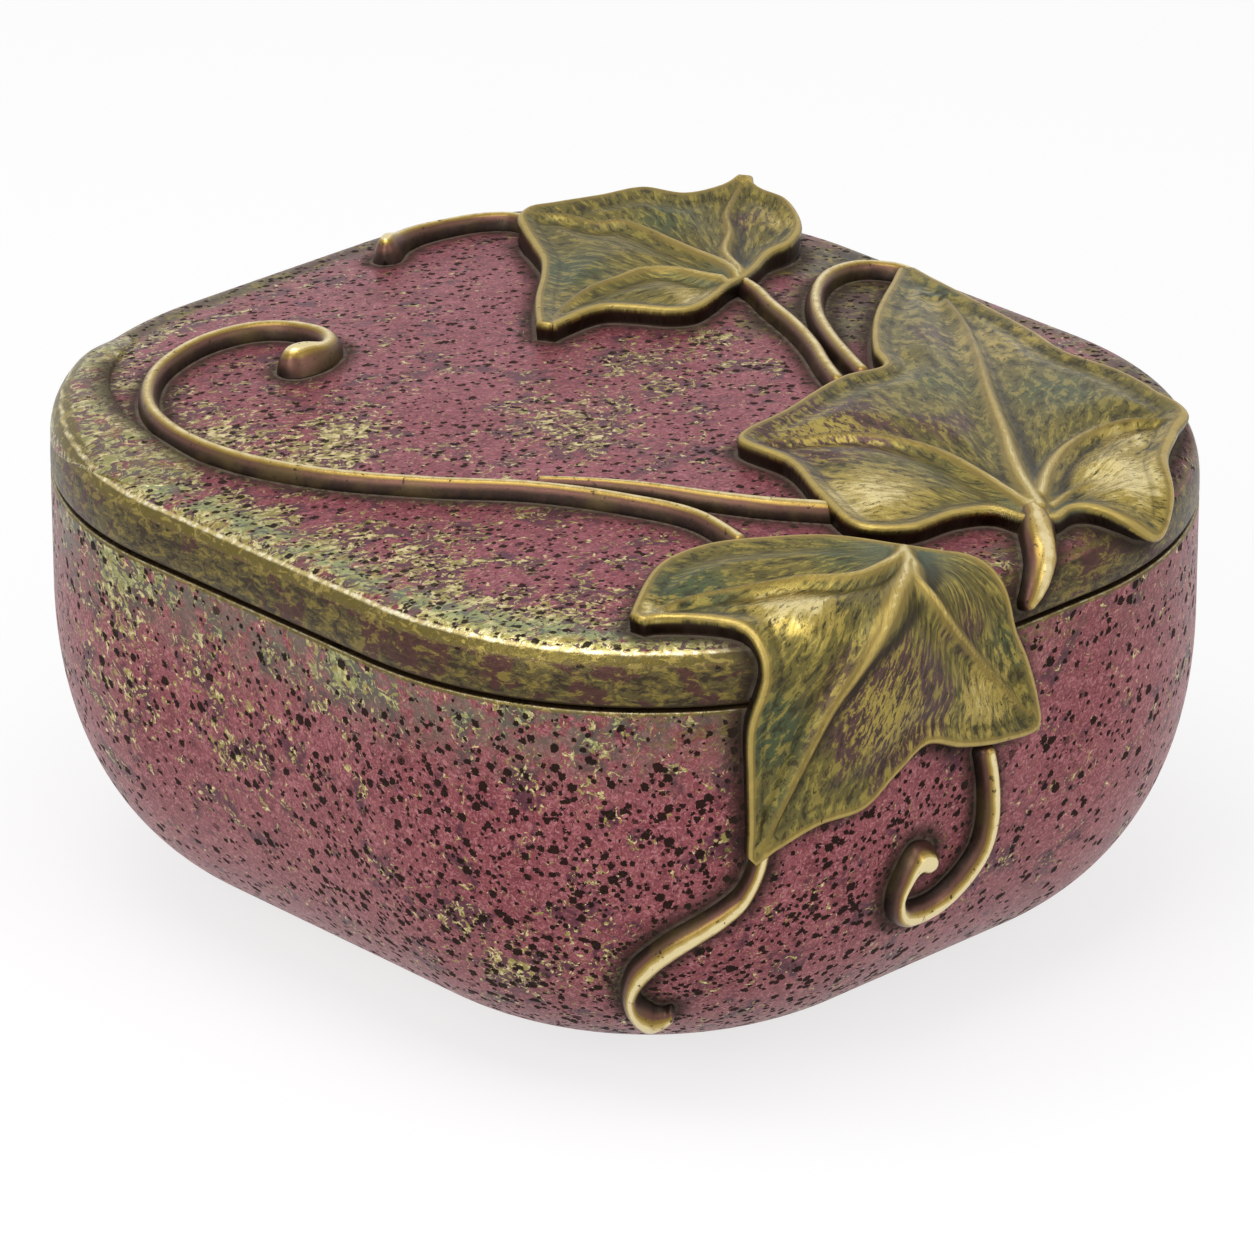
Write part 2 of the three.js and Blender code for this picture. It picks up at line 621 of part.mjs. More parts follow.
// One hinge leaf. The body's is below the seam with the outer knuckles, the lid's above it with the others.
function hingeLeaf(isLid) {
  const face = isLid ? lidBottom : bodyTop;
  const side = isLid ? 1 : -1;
  const half = HINGE_LENGTH / 2;
  const levels = [face, face + side * HINGE_PLATE].sort((a, b) => a - b);
  const wall = DEPTH / 2;
  const angle = isLid ? OPEN_ANGLE + STOP_SLACK - STOP_TILT : -STOP_TILT;
  let leaf = block([-half, half], [wall - HINGE_DEEP, wall - HINGE_BACK], levels);
  leaf = leaf.add(stopBar(angle, side, [-half, half], KNUCKLE_R + FIT));
  for (let i = isLid ? 1 : 0; i < KNUCKLES; i += 2) {
    const span = knuckleSpan(i);
    leaf = leaf.add(block(span, [wall - HINGE_DEEP / 2, axisY], levels));
    leaf = leaf.add(barAlongX(KNUCKLE_R, ...span, axisY, SEAM_Z));
    leaf = leaf.add(stopBar(angle, side, span, PIN_R + PIN_PLAY + FIT));
  }
  leaf = leaf.subtract(barAlongX(PIN_R + PIN_PLAY, -HINGE_LENGTH, HINGE_LENGTH, axisY, SEAM_Z));
  screwXs.forEach((x) => {
    leaf = leaf.subtract(screwHole(x, face, !isLid));
  });
  return toGeometry(leaf);
}

function hingePin() {
  return toGeometry(barAlongX(PIN_R, -HINGE_LENGTH / 2, HINGE_LENGTH / 2, axisY, SEAM_Z));
}

// Body shell: outer skin, rim, lip and the hollow, then the places for the hinge
function bodyShell() {
  const rimR = CORNER_R - RIM_WIDTH;
  const outer = bodyOuter(BELLY_STEPS);
  const inner = offset(outer, -BODY_WALL).slice(0, -1);
  const feltR = footR - FELT_INSET + FIT;
  const feltTop = FELT_THICK + FIT;
  const profile = [
    [0, feltTop], [feltR, feltTop], [feltR, FELT_PROUD],
    ...outer.slice().reverse(),
    [CORNER_R, bodyTop],
    [rimR + LIP_WIDTH, bodyTop],
    [rimR + LIP_WIDTH, bodyTop + LIP_HEIGHT],
    [rimR, bodyTop + LIP_HEIGHT],
    [rimR, bodyTop - RIM_DEPTH],
    [CORNER_R - BODY_WALL, bodyTop - RIM_DEPTH],
    ...inner,
    [footR, FELT_PROUD + BODY_WALL],
    [0, FELT_PROUD + BODY_WALL],
  ];
  const half = HINGE_LENGTH / 2 + FIT;
  const wall = DEPTH / 2;
  const recess = [bodyTop - HINGE_PLATE - FIT, SEAM_Z];
  const aboveSeam = [bodyTop, bodyTop + 2 * LIP_HEIGHT];
  let shell = toSolid(grownBody(profile));
  shell = shell.subtract(block([-half, half], [wall - HINGE_DEEP - FIT, wall + FIT], recess));
  shell = shell.subtract(block([-half - FIT, half + FIT], [halfY, wall], aboveSeam));
  screwXs.forEach((x) => {
    shell = shell.subtract(screwHole(x, bodyTop, true));
  });
  return toGeometry(shell);
}

// Lid shell: hollow, with a raised border at one corner and a block inside the back for the hinge screws
function lidShell() {
  const innerR = CORNER_R - LID_RIM;
  const ceilingR = innerR - EDGE_IN;
  const ceiling = edgeTop - LID_TOP;
  const inside = [[innerR, lidBottom]];
  for (let i = 0; i <= EDGE_STEPS; i++) {
    const a = (Math.PI / 2) * (i / EDGE_STEPS);
    inside.push([ceilingR + EDGE_IN * Math.cos(a), SEAM_Z + LID_SIDE + (EDGE_UP - LID_TOP) * Math.sin(a)]);
  }
  inside.push([0, ceiling + DOME]);
  const outer = lidOuter(DOME_STEPS, EDGE_STEPS).reverse();
  const profile = [...inside.reverse(), [CORNER_R, lidBottom], ...outer];
  const half = HINGE_LENGTH / 2;
  const wall = DEPTH / 2;
  const front = wall - HINGE_DEEP - FIT;
  const boss = block([-half, half], [front, wall - LID_RIM / 2], [lidBottom, lidBottom + BOSS_DEEP]);
  const recess = [SEAM_Z, lidBottom + HINGE_PLATE + FIT];
  const swell = stemSolid(cornerSwell).subtract(scrollRoom);
  let shell = toSolid(grownBody(profile)).add(swell).add(boss);
  shell = shell.subtract(block([-half - FIT, half + FIT], [front, wall + FIT], recess));
  screwXs.forEach((x) => {
    shell = shell.subtract(screwHole(x, lidBottom, false));
  });
  return toGeometry(mainPiece(shell));
}

// Linings lie a fit inside the metal
const floorZ = FELT_PROUD + BODY_WALL + FIT;
const liningOut = [...offset(bodyOuter(BELLY_STEPS), -BODY_WALL - FIT).slice(0, -1), [footR, floorZ]];
const liningIn = offset(bodyOuter(BELLY_STEPS), -BODY_WALL - FIT - LINING_THICK);
const padTop = floorZ + PAD_THICK;

function floorPad() {
  const edge = between(liningOut, padTop, floorZ);
  return grownBody([[0, floorZ], ...edge.reverse(), [0, padTop]]);
}

function wallLining() {
  const top = bodyTop - RIM_DEPTH - FIT;
  const bottom = padTop + FIT;
  const topR = CORNER_R - BODY_WALL - FIT;
  const outer = between([[topR, top + 1], ...liningOut], top, bottom);
  const inner = between([[topR - LINING_THICK, top + 1], ...liningIn], top, bottom);
  return grownBody([...outer, ...inner.reverse()]);
}

function lidPad() {
  const ceilingR = CORNER_R - LID_RIM - EDGE_IN;
  const top = edgeTop - LID_TOP - FIT;
  const profile = [[0, top - LID_PAD_THICK], [ceilingR, top - LID_PAD_THICK], [ceilingR, top]];
  return grownBody([...profile, [0, top + DOME]]);
}

function baseFelt() {
  const r = footR - FELT_INSET;
  return grownBody([[0, 0], [r, 0], [r, FELT_THICK], [0, FELT_THICK]]);
}

// Assembly
const box = new THREE.Group();
const lid = new THREE.Group(); // turns about the hinge pin
lid.position.set(0, axisY, SEAM_Z);
box.add(lid);

function addTo(group, name, geometry, material) {
  const mesh = new THREE.Mesh(geometry, material);
  mesh.name = name;
  mesh.position.sub(group.position);
  group.add(mesh);
  return mesh;
}

addTo(box, 'body_shell', bodyShell(), lustre);
addTo(box, 'base_felt', baseFelt(), felt);
addTo(box, 'well_floor_pad', floorPad(), fabric);
addTo(box, 'well_wall_lining', wallLining(), fabric);
addTo(box, 'tendril_front_tip', tipTendrilGeometry, brass);
addTo(box, 'tendril_front_curl', curlTendrilGeometry, brass);
addTo(box, 'hinge_body_leaf', hingeLeaf(false), brass);
addTo(box, 'hinge_pin', hingePin(), steel);

addTo(lid, 'lid_shell', lidShell(), lustre);
addTo(lid, 'lid_lining_pad', lidPad(), fabric);
addTo(lid, 'ivy_leaf_front', frontLeafGeometry, brass);
addTo(lid, 'ivy_leaf_side', sideLeafGeometry, brass);
addTo(lid, 'ivy_leaf_back', backLeafGeometry, brass);
addTo(lid, 'tendril_scroll', scrollGeometry, brass);
addTo(lid, 'tendril_back', backTendrilGeometry, brass);
addTo(lid, 'vine_stem_back', backStemGeometry, brass);
addTo(lid, 'vine_stem_loop', loopStemGeometry, brass);
addTo(lid, 'vine_stub', stubGeometry, brass);
addTo(lid, 'hinge_lid_leaf', hingeLeaf(true), brass);

screwXs.forEach((x, i) => {
  const low = addTo(box, `hinge_screw_body_${i + 1}`, screwGeometry(), steel);
  low.position.add(new THREE.Vector3(x, screwY, bodyTop));
  const high = addTo(lid, `hinge_screw_lid_${i + 1}`, screwGeometry(), steel);
  high.position.add(new THREE.Vector3(x, screwY, lidBottom));
  high.rotation.x = Math.PI;
});

export default box;
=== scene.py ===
import math

import bmesh
import bpy
from mathutils import Matrix, Vector
from mathutils.bvhtree import BVHTree
from mathutils.kdtree import KDTree


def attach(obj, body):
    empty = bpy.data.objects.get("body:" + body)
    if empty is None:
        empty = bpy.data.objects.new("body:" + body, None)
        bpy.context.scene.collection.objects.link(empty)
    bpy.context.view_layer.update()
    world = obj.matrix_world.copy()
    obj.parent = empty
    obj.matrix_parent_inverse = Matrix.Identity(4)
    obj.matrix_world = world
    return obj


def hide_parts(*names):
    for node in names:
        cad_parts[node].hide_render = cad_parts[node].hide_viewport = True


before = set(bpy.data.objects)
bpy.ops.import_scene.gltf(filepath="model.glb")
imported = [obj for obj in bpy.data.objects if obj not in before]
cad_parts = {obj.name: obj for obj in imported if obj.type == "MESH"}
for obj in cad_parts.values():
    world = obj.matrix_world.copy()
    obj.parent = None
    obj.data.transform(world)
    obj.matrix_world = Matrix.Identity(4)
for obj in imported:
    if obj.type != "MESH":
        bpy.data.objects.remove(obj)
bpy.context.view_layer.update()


# The photograph's camera: a long lens about 1.5 m away, off the box's front left corner, looking
# down 24 degrees. Its place and length were fitted to the outline, the seam and the lid's edge.
MM = 0.001
AIM = Vector((-1.15, -2.17, 45.06)) * MM
SEEN_FROM, SEEN_DOWN = -43.63, 24.42
STAND_OFF = 1466.2 * MM
LENS_LENGTH = 258.4
SENSOR_WIDTH = 36


def unit_towards(azimuth, elevation):
    turn, rise = math.radians(azimuth), math.radians(elevation)
    return Vector((math.sin(turn) * math.cos(rise), -math.cos(turn) * math.cos(rise), math.sin(rise)))


def aimed(thing, azimuth, elevation, distance):
    """Stands a camera or a lamp so that it looks at the box's middle."""
    bpy.context.scene.collection.objects.link(thing)
    thing.location = AIM + distance * unit_towards(azimuth, elevation)
    thing.rotation_euler = unit_towards(azimuth, elevation).to_track_quat("Z", "Y").to_euler()


lens = bpy.data.cameras.new("camera")
lens.sensor_width = SENSOR_WIDTH
lens.lens = LENS_LENGTH
camera = bpy.data.objects.new("camera", lens)
aimed(camera, SEEN_FROM, SEEN_DOWN, STAND_OFF)
bpy.context.scene.camera = camera


# The two castings: body and lid are hollow shells of cast bronze, filed true where they meet.
# Each is one profile carried round a rectangle with round corners. Profiles are [radius, height]
# in mm, the radius measured out from the small rectangle that every level grows from.
HALF_ACROSS, HALF_ALONG = 19.5, 26.5
CORNER = 60.5
SEAM = 72.0
SEAM_GAP = 0.4
LID_SIDE, EDGE_IN, EDGE_UP, EDGE_POWER, DOME = 1.0, 7.0, 9.2, 3.0, 3.0
LID_TOP_R = CORNER - EDGE_IN
EDGE_TOP = SEAM + LID_SIDE + EDGE_UP
FOOT = 0.3
FOOT_R = 19.5
BULGE_TOP, BULGE_PULL, FOOT_PULL = 52, 8, 11
WALL = 3.5
BODY_TOP = SEAM - SEAM_GAP / 2
LID_FOOT = SEAM + SEAM_GAP / 2
CLOSE = 1e-4


def lid_outline(dome_steps, edge_steps):
    """Over the low dome from the middle, round the edge and down to the lid's short side."""
    line = []
    for i in range(dome_steps + 1):
        share = i / dome_steps
        line.append((LID_TOP_R * share, EDGE_TOP + DOME * (1 - share**2)))
    for i in range(1, edge_steps + 1):
        a = math.pi / 2 * i / edge_steps
        out = math.sin(a) ** (2 / EDGE_POWER)
        up = max(math.cos(a), 0) ** (2 / EDGE_POWER) if i < edge_steps else 0
        line.append((LID_TOP_R + EDGE_IN * out, SEAM + LID_SIDE + EDGE_UP * up))
    return line


def body_outline(steps):
    """Down the bulging side in one sweep, and in under it to the foot."""
    corners = [
        Vector((CORNER, BULGE_TOP)), Vector((CORNER, BULGE_PULL)),
        Vector((FOOT_R + FOOT_PULL, FOOT)), Vector((FOOT_R, FOOT)),
    ]
    line = []
    for i in range(steps + 1):
        t = i / steps
        p = corners[0] * (1 - t) ** 3 + corners[1] * 3 * t * (1 - t) ** 2
        p += corners[2] * 3 * t**2 * (1 - t) + corners[3] * t**3
        line.append((p.x, p.y))
    return line


def moved_out(line, distance):
    moved = []
    for i, (r, z) in enumerate(line):
        r0, z0 = line[max(i - 1, 0)]
        r1, z1 = line[min(i + 1, len(line) - 1)]
        length = math.hypot(r1 - r0, z1 - z0)
        moved.append((r + distance * (z0 - z1) / length, z + distance * (r1 - r0) / length))
    return moved


def straight(start, end, step):
    """Points from start up to but not with end, no further apart than step."""
    count = max(1, math.ceil(math.dist(start, end) / step))
    points = []
    for i in range(count):
        points.append(tuple(a + (b - a) * i / count for a, b in zip(start, end)))
    return points


def draw_out(bm, edges, step, count):
    for _ in range(count):
        grown = bmesh.ops.extrude_edge_only(bm, edges=edges)["geom"]
        points = [g for g in grown if isinstance(g, bmesh.types.BMVert)]
        bmesh.ops.translate(bm, verts=points, vec=step)
        edges = [g for g in grown if isinstance(g, bmesh.types.BMEdge)]


def carried_round(line, arc_steps, across_steps, along_steps):
    """The profile turned through one corner, drawn out along both walls and mirrored twice."""
    bm = bmesh.new()
    points = [bm.verts.new((HALF_ACROSS + r, HALF_ALONG, z)) for r, z in line]
    start = [bm.edges.new(pair) for pair in zip(points, points[1:])]
    if line[0][0] > 0:
        start.append(bm.edges.new((points[-1], points[0])))
    spun = bmesh.ops.spin(
        bm, geom=points + start, cent=(HALF_ACROSS, HALF_ALONG, 0), axis=(0, 0, 1),
        angle=math.pi / 2, steps=arc_steps,
    )
    end = [g for g in spun["geom_last"] if isinstance(g, bmesh.types.BMEdge)]
    draw_out(bm, start, (0, -HALF_ALONG / along_steps, 0), along_steps)
    draw_out(bm, end, (-HALF_ACROSS / across_steps, 0, 0), across_steps)
    if line[0][0] == 0:
        middle = [
            e for e in bm.edges
            if all(
                abs(v.co.x - HALF_ACROSS) < CLOSE / 10 and v.co.y < HALF_ALONG + CLOSE for v in e.verts
            )
        ]
        draw_out(bm, middle, (-HALF_ACROSS / across_steps, 0, 0), across_steps)
    bmesh.ops.remove_doubles(bm, verts=bm.verts, dist=CLOSE)
    bmesh.ops.dissolve_degenerate(bm, edges=bm.edges, dist=CLOSE)
    for axis in ("X", "Y"):
        whole = bm.verts[:] + bm.edges[:] + bm.faces[:]
        bmesh.ops.mirror(bm, geom=whole, axis=axis, merge_dist=10 * CLOSE)
    bmesh.ops.recalc_face_normals(bm, faces=bm.faces)
    return bm


def made(bm, name):
    """The finished mesh as a piece, in metres, with smooth faces."""
    bmesh.ops.scale(bm, vec=(MM, MM, MM), verts=bm.verts)
    for face in bm.faces:
        face.smooth = True
    mesh = bpy.data.meshes.new(name)
    bm.to_mesh(mesh)
    bm.free()
    piece = bpy.data.objects.new(name, mesh)
    bpy.context.scene.collection.objects.link(piece)
    return piece


def cut_away(piece, across, along, height):
    """A milled recess: everything inside the block is taken off."""
    bm = bmesh.new()
    bmesh.ops.create_cube(bm, size=1)
    bmesh.ops.scale(bm, vec=[b - a for a, b in (across, along, height)], verts=bm.verts)
    bmesh.ops.translate(bm, vec=[(a + b) / 2 for a, b in (across, along, height)], verts=bm.verts)
    cutter = made(bm, "cutter")
    cut = piece.modifiers.new("recess", "BOOLEAN")
    cut.operation = "DIFFERENCE"
    cut.solver = "EXACT"
    cut.object = cutter
    graph = bpy.context.evaluated_depsgraph_get()
    whole = bpy.data.meshes.new_from_object(piece.evaluated_get(graph))
    piece.modifiers.clear()
    whole.name = piece.name
    piece.data = whole
    bpy.data.objects.remove(cutter)


def linear(code):
    """The linear colour of an sRGB hex value."""
    channels = [int(code[i:i + 2], 16) / 255 for i in (1, 3, 5)]
    return tuple(c / 12.92 if c <= 0.04045 else ((c + 0.055) / 1.055) ** 2.4 for c in channels) + (1.0,)


def add(tree, kind, inputs=None, give=0, **settings):
    """Adds one node with its settings, feeds it values or other outputs, and gives back one output."""
    node = tree.nodes.new("ShaderNode" + kind)
    for name, value in settings.items():
        setattr(node, name, value)
    for name, value in (inputs or {}).items():
        if isinstance(value, bpy.types.NodeSocket):
            tree.links.new(value, node.inputs[name])
        else:
            node.inputs[name].default_value = value
    return node.outputs[give] if node.outputs else None


def started(name):
    """A new material, empty but for its principled shader: the node tree and the shader."""
    material = bpy.data.materials.new(name)
    material.use_nodes = True
    return material, material.node_tree, material.node_tree.nodes["Principled BSDF"]


# Raspberry lustre on cast bronze: lacquer with metal powder in it, dabbed on in thin coats and rubbed
# back, so it is semi-gloss and mottled rose, with gold, green and plum patina showing through. Dark pits
# of 0.5 to 1.7 mm are eaten into it. Sand grain is 0.1 mm on the real one and drawn at 0.45 mm to show.
# Sizes of the patterns are in mm: clouds of 16 are single dabs, strokes of 0.75 the marks of the brush.
# The soot tone is soot and painted shade together, round the ornament, along the border's foot and in
# the seam. The inside tone is the bare metal inside, and also painted shade on the body's rim in the
# seam.
PIT_TONE, SOOT_AND_SHADE_TONE, INSIDE_AND_SEAM_SHADE_TONE, FOOT_LINE_TONE = "#271c16", "#40352c", "#4d3c28", "#9a8d7c"
LUSTRE_SHEEN, PIT_SHEEN = 0.38, 0.08
LUSTRE_RELIEF = 0.14 * MM


def raspberry_lustre(name, shades, streak_turn, streak, pit_cells):
    material, tree, shader = started(name)
    place = add(tree, "TexCoord", give="Object")
    zone = {}
    for label in ("flecks", "greened", "rubbed", "gilt", "banded", "pitted", "inside", "to_ornament"):
        zone[label] = add(tree, "Attribute", give="Fac", attribute_name=label)

    # Streaks: coordinates turned so that the streak runs along Z, and drawn together along it.
    # Layers lie level, so their coordinates are drawn together in height.
    turned = add(tree, "Mapping", {"Vector": place, "Rotation": streak_turn})
    slanted = add(tree, "Mapping", {"Vector": turned, "Scale": (1, 1, 1 / streak)})
    level = add(tree, "Mapping", {"Vector": place, "Scale": (1, 1, 2.2)})
    noise = {}
    for label, vector, size, detail, roughness, distortion in (
        ("clouds", place, 16, 3, 0.55, 0.0),
        ("patches", slanted, 7, 4, 0.6, 0.5),
        ("blotches", slanted, 2.6, 4, 0.6, 0.6),
        ("flecks", slanted, 1.7, 5, 0.66, 1.5),
        ("tones", slanted, 1.1, 3, 0.6, 0.6),
        ("strokes", slanted, 0.75, 3, 0.6, 1.4),
        ("layers", level, 2.6, 5, 0.66, 0.7),
        ("brushed", level, 1.1, 4, 0.65, 0.5),
        ("grain", place, 0.45, 2, 0.6, 0.0),
    ):
        noise[label] = add(tree, "TexNoise", {
            "Vector": vector, "Scale": 1 / (size * MM), "Detail": detail, "Roughness": roughness,
            "Distortion": distortion,
        })

    # Pits: ragged cells with a random size, of which a random share is open
    pit_place = add(tree, "Mapping", {
        "Vector": turned, "Location": (0.31, 0.17, 0.23), "Scale": (1, 1, 0.5 + 0.5 / streak),
    })
    pits = None
    for cell, reach in pit_cells:
        cells = {"Vector": pit_place, "Scale": 1 / (cell * MM), "Exponent": 1.5}
        depth = add(tree, "TexVoronoi", cells, distance="MINKOWSKI")
        chance = add(tree, "TexVoronoi", cells, give="Color", distance="MINKOWSKI")
        size = add(tree, "SeparateColor", {0: chance}, give=1)
        chance = add(tree, "SeparateColor", {0: chance})
        opened = add(tree, "Math", {0: zone["pitted"], 1: chance}, operation="SUBTRACT")
        opened = add(tree, "MapRange", {0: opened, 1: 0.0, 2: 0.04})
        radius = add(tree, "MapRange", {0: size, 3: 0.5 * reach, 4: reach})
        ragged = add(tree, "Math", {0: noise["strokes"], 1: 0.7, 2: depth}, operation="MULTIPLY_ADD")
        spot = add(tree, "Math", {0: radius, 1: ragged}, operation="SUBTRACT")
        spot = add(
            tree, "MapRange", {0: spot, 1: -0.36, 2: -0.28, 4: 0.95}, interpolation_type="SMOOTHSTEP"
        )
        spot = add(tree, "Math", {0: spot, 1: opened}, operation="MULTIPLY")
        pits = spot if pits is None else add(tree, "Math", {0: spot, 1: pits}, operation="MAXIMUM")

    # Patina: one field of flecks, thicker where it was dabbed, with a plum shadow wider than the gold
    field = add(tree, "Math", {0: zone["flecks"], 1: 0.2, 2: noise["flecks"]}, operation="MULTIPLY_ADD")
    field = add(tree, "Math", {0: noise["patches"], 1: 0.4, 2: field}, operation="MULTIPLY_ADD")
    plum = add(tree, "Math", {0: zone["flecks"], 1: 0.24, 2: noise["patches"]}, operation="MULTIPLY_ADD")
    plum = add(tree, "Math", {0: noise["blotches"], 1: 0.5, 2: plum}, operation="MULTIPLY_ADD")
    plum = add(tree, "MapRange", {0: plum, 1: 0.79, 2: 0.93, 4: 0.85}, interpolation_type="SMOOTHSTEP")
    gold = add(tree, "MapRange", {0: field, 1: 0.825, 2: 0.855}, interpolation_type="SMOOTHSTEP")

    # Zones with broken edges: the brown side band and the brown layers darker towards the body's bottom,
    # the green tint, gilt, wear with a painted highlight on the edge, soot and painted shade round the
    # ornament and in the seam, and the pale dust line at the ornament's foot. Gold and pits stop where
    # the metal is bare.
    band = add(tree, "Math", {0: noise["layers"], 1: 0.8, 2: zone["banded"]}, operation="MULTIPLY_ADD")
    band = add(tree, "MapRange", {0: band, 1: 0.66, 2: 0.98}, interpolation_type="SMOOTHSTEP")
    tint = add(
        tree, "MapRange", {0: noise["blotches"], 1: 0.36, 2: 0.56, 4: 0.85},
        interpolation_type="SMOOTHSTEP",
    )
    tint = add(tree, "Math", {0: tint, 1: zone["greened"]}, operation="MULTIPLY")
    gilt = add(tree, "Math", {0: noise["brushed"], 1: 0.7, 2: zone["gilt"]}, operation="MULTIPLY_ADD")
    gilt = add(tree, "MapRange", {0: gilt, 1: 0.62, 2: 0.95}, interpolation_type="SMOOTHSTEP")
    worn_and_lit = add(tree, "Math", {0: noise["tones"], 1: 0.3, 2: zone["rubbed"]}, operation="MULTIPLY_ADD")
    worn_and_lit = add(tree, "MapRange", {0: worn_and_lit, 1: 0.6, 2: 1.15}, interpolation_type="SMOOTHSTEP")
    # Soot and painted shade: darkest right beside the ornament, the border's foot and the lid's foot in
    # the seam
    soot_and_shade = add(
        tree, "Math", {0: noise["layers"], 1: 3.0, 2: zone["to_ornament"]}, operation="MULTIPLY_ADD"
    )
    soot_and_shade = add(tree, "MapRange", {0: soot_and_shade, 1: 5.6, 2: 1.9, 4: 0.85}, interpolation_type="SMOOTHSTEP")
    foot_line = add(tree, "MapRange", {0: zone["to_ornament"], 1: 0.75, 2: 0.25, 4: 0.4})
    unbanded = add(tree, "Math", {0: 1.0, 1: band}, operation="SUBTRACT")
    gold = add(tree, "Math", {0: gold, 1: unbanded}, operation="MULTIPLY")
    plum = add(tree, "Math", {0: plum, 1: unbanded}, operation="MULTIPLY")
    for bared in (worn_and_lit, gilt):
        left = add(tree, "Math", {0: 1.0, 1: bared}, operation="SUBTRACT")
        pits = add(tree, "Math", {0: pits, 1: left}, operation="MULTIPLY")

    # Each tone comes in between two levels of its noise, up to the share given last
    steps = {}
    for label, source, low, high, share in (
        ("cloudy", "clouds", 0.34, 0.66, 0.7),
        ("blotchy", "blotches", 0.52, 0.68, 0.6),
        ("pale strokes", "strokes", 0.5, 0.66, 0.62),
        ("dark strokes", "strokes", 0.48, 0.34, 0.62),
        ("brown layers", "layers", 0.48, 0.42, 0.85),
        ("gold layers", "layers", 0.53, 0.59, 0.8),
        ("dark scratches", "brushed", 0.47, 0.38, 0.5),
        ("plum layers", "patches", 0.5, 0.54, 0.8),
        ("pale tones", "tones", 0.44, 0.62, 1.0),
    ):
        steps[label] = add(
            tree, "MapRange", {0: noise[source], 1: low, 2: high, 4: share},
            interpolation_type="SMOOTHSTEP",
        )
    coats = {
        "rose": list(zip(shades, ("ground", "cloudy", "blotchy", "pale strokes", "dark strokes"))),
        "layers": [
            ("#5f5330", "ground"), ("#33261b", "brown layers"), ("#54302f", "plum layers"),
            ("#8c7a3a", "gold layers"), ("#2f2519", "dark scratches"),
        ],
        "gilding": [("#9a8b4e", "ground"), ("#e2d19a", "pale tones"), ("#8f9a68", "green")],
        "bright": [("#cfbb80", "ground"), ("#f3e9c6", "pale tones")],
        "old gilt": [("#6b5e30", "ground"), ("#a08d4c", "gold layers")],
    }
    steps["green"] = tint
    for coat, tones in coats.items():
        mixed = linear(tones[0][0])
        for shade, amount in tones[1:]:
            mixed = add(
                tree, "Mix", {0: steps[amount], 6: mixed, 7: linear(shade)}, give=2, data_type="RGBA"
            )
        coats[coat] = mixed
    colour = coats["rose"]
    # The bright coat is wear and painted highlight on the edges
    for shade, amount in (
        (linear("#55293a"), plum), (linear("#6c7360"), tint), (coats["layers"], band),
        (coats["gilding"], gold), (coats["old gilt"], gilt), (linear(PIT_TONE), pits),
        (coats["bright"], worn_and_lit), (linear(SOOT_AND_SHADE_TONE), soot_and_shade), (linear(FOOT_LINE_TONE), foot_line),
        (linear(INSIDE_AND_SEAM_SHADE_TONE), zone["inside"]),
    ):
        colour = add(tree, "Mix", {0: amount, 6: colour, 7: shade}, give=2, data_type="RGBA")
    tree.links.new(colour, shader.inputs["Base Color"])

    # Pits, soot and the painted shade are matt, gold and worn metal shine, and the lacquer lies between
    dull = add(tree, "Math", {0: pits, 1: soot_and_shade}, operation="MAXIMUM")
    shiny = add(tree, "Math", {0: gold, 1: worn_and_lit}, operation="MAXIMUM")
    rough = add(tree, "Math", {0: noise["grain"], 1: 0.18, 2: 0.3}, operation="MULTIPLY_ADD")
    rough = add(tree, "Math", {0: dull, 1: 0.35, 2: rough}, operation="MULTIPLY_ADD")
    rough = add(tree, "Math", {0: shiny, 1: -0.08, 2: rough}, operation="MULTIPLY_ADD", use_clamp=True)
    tree.links.new(rough, shader.inputs["Roughness"])
    sheen = add(tree, "MapRange", {0: dull, 3: LUSTRE_SHEEN, 4: PIT_SHEEN})
    tree.links.new(sheen, shader.inputs["Specular IOR Level"])
    metal = add(tree, "Math", {0: shiny, 1: 0.35, 2: 0.55}, operation="MULTIPLY_ADD")
    metal = add(tree, "Math", {0: dull, 1: -0.5, 2: metal}, operation="MULTIPLY_ADD", use_clamp=True)
    tree.links.new(metal, shader.inputs["Metallic"])

    # Relief: strokes and grain, gold lying proud, pits sunk
    height = add(
        tree, "Math", {0: noise["grain"], 1: 0.3, 2: noise["strokes"]}, operation="MULTIPLY_ADD"
    )
    height = add(tree, "Math", {0: gold, 1: 0.3, 2: height}, operation="MULTIPLY_ADD")
    height = add(tree, "Math", {0: pits, 1: -1.0, 2: height}, operation="MULTIPLY_ADD")
    bump = add(tree, "Bump", {"Height": height, "Strength": 0.7, "Distance": LUSTRE_RELIEF})
    tree.links.new(bump, shader.inputs["Normal"])
    return material


# Body casting: a hollow bronze shell with bulging sides, cast in one piece. Its rim is filed flat, with
# a narrow lip inside that steadies the lid. The foot is sunk for the felt, and a recess is milled
# in the back wall for the hinge.
RIM_R = CORNER - 5.5
LIP_UP, LEDGE_DOWN = 2, 9
FELT_SUNK = 1.5
FELT_IN, FELT_PLAY = 2.5, 0.3
RECESS_HALF, RECESS_DEEP, RECESS_FOOT = 19.3, (81.5, 87.3), 70.2
NOTCH_HALF, NOTCH_DEEP, NOTCH_TOP = 19.6, (HALF_ALONG, 87), 76
BODY_SHADES = "#914a50", "#a25c61", "#6f333b", "#d39094", "#55222b"
BODY_PITS = [(1.75, 0.62), (1.05, 0.58)]
UPRIGHT = Vector((0, 0, 1))
DOWN_THE_SIDES = Vector((-0.6, -0.6, -0.5)).rotation_difference(UPRIGHT).to_euler()
body_outer = body_outline(90)
body_inner = moved_out(body_outer, -WALL)
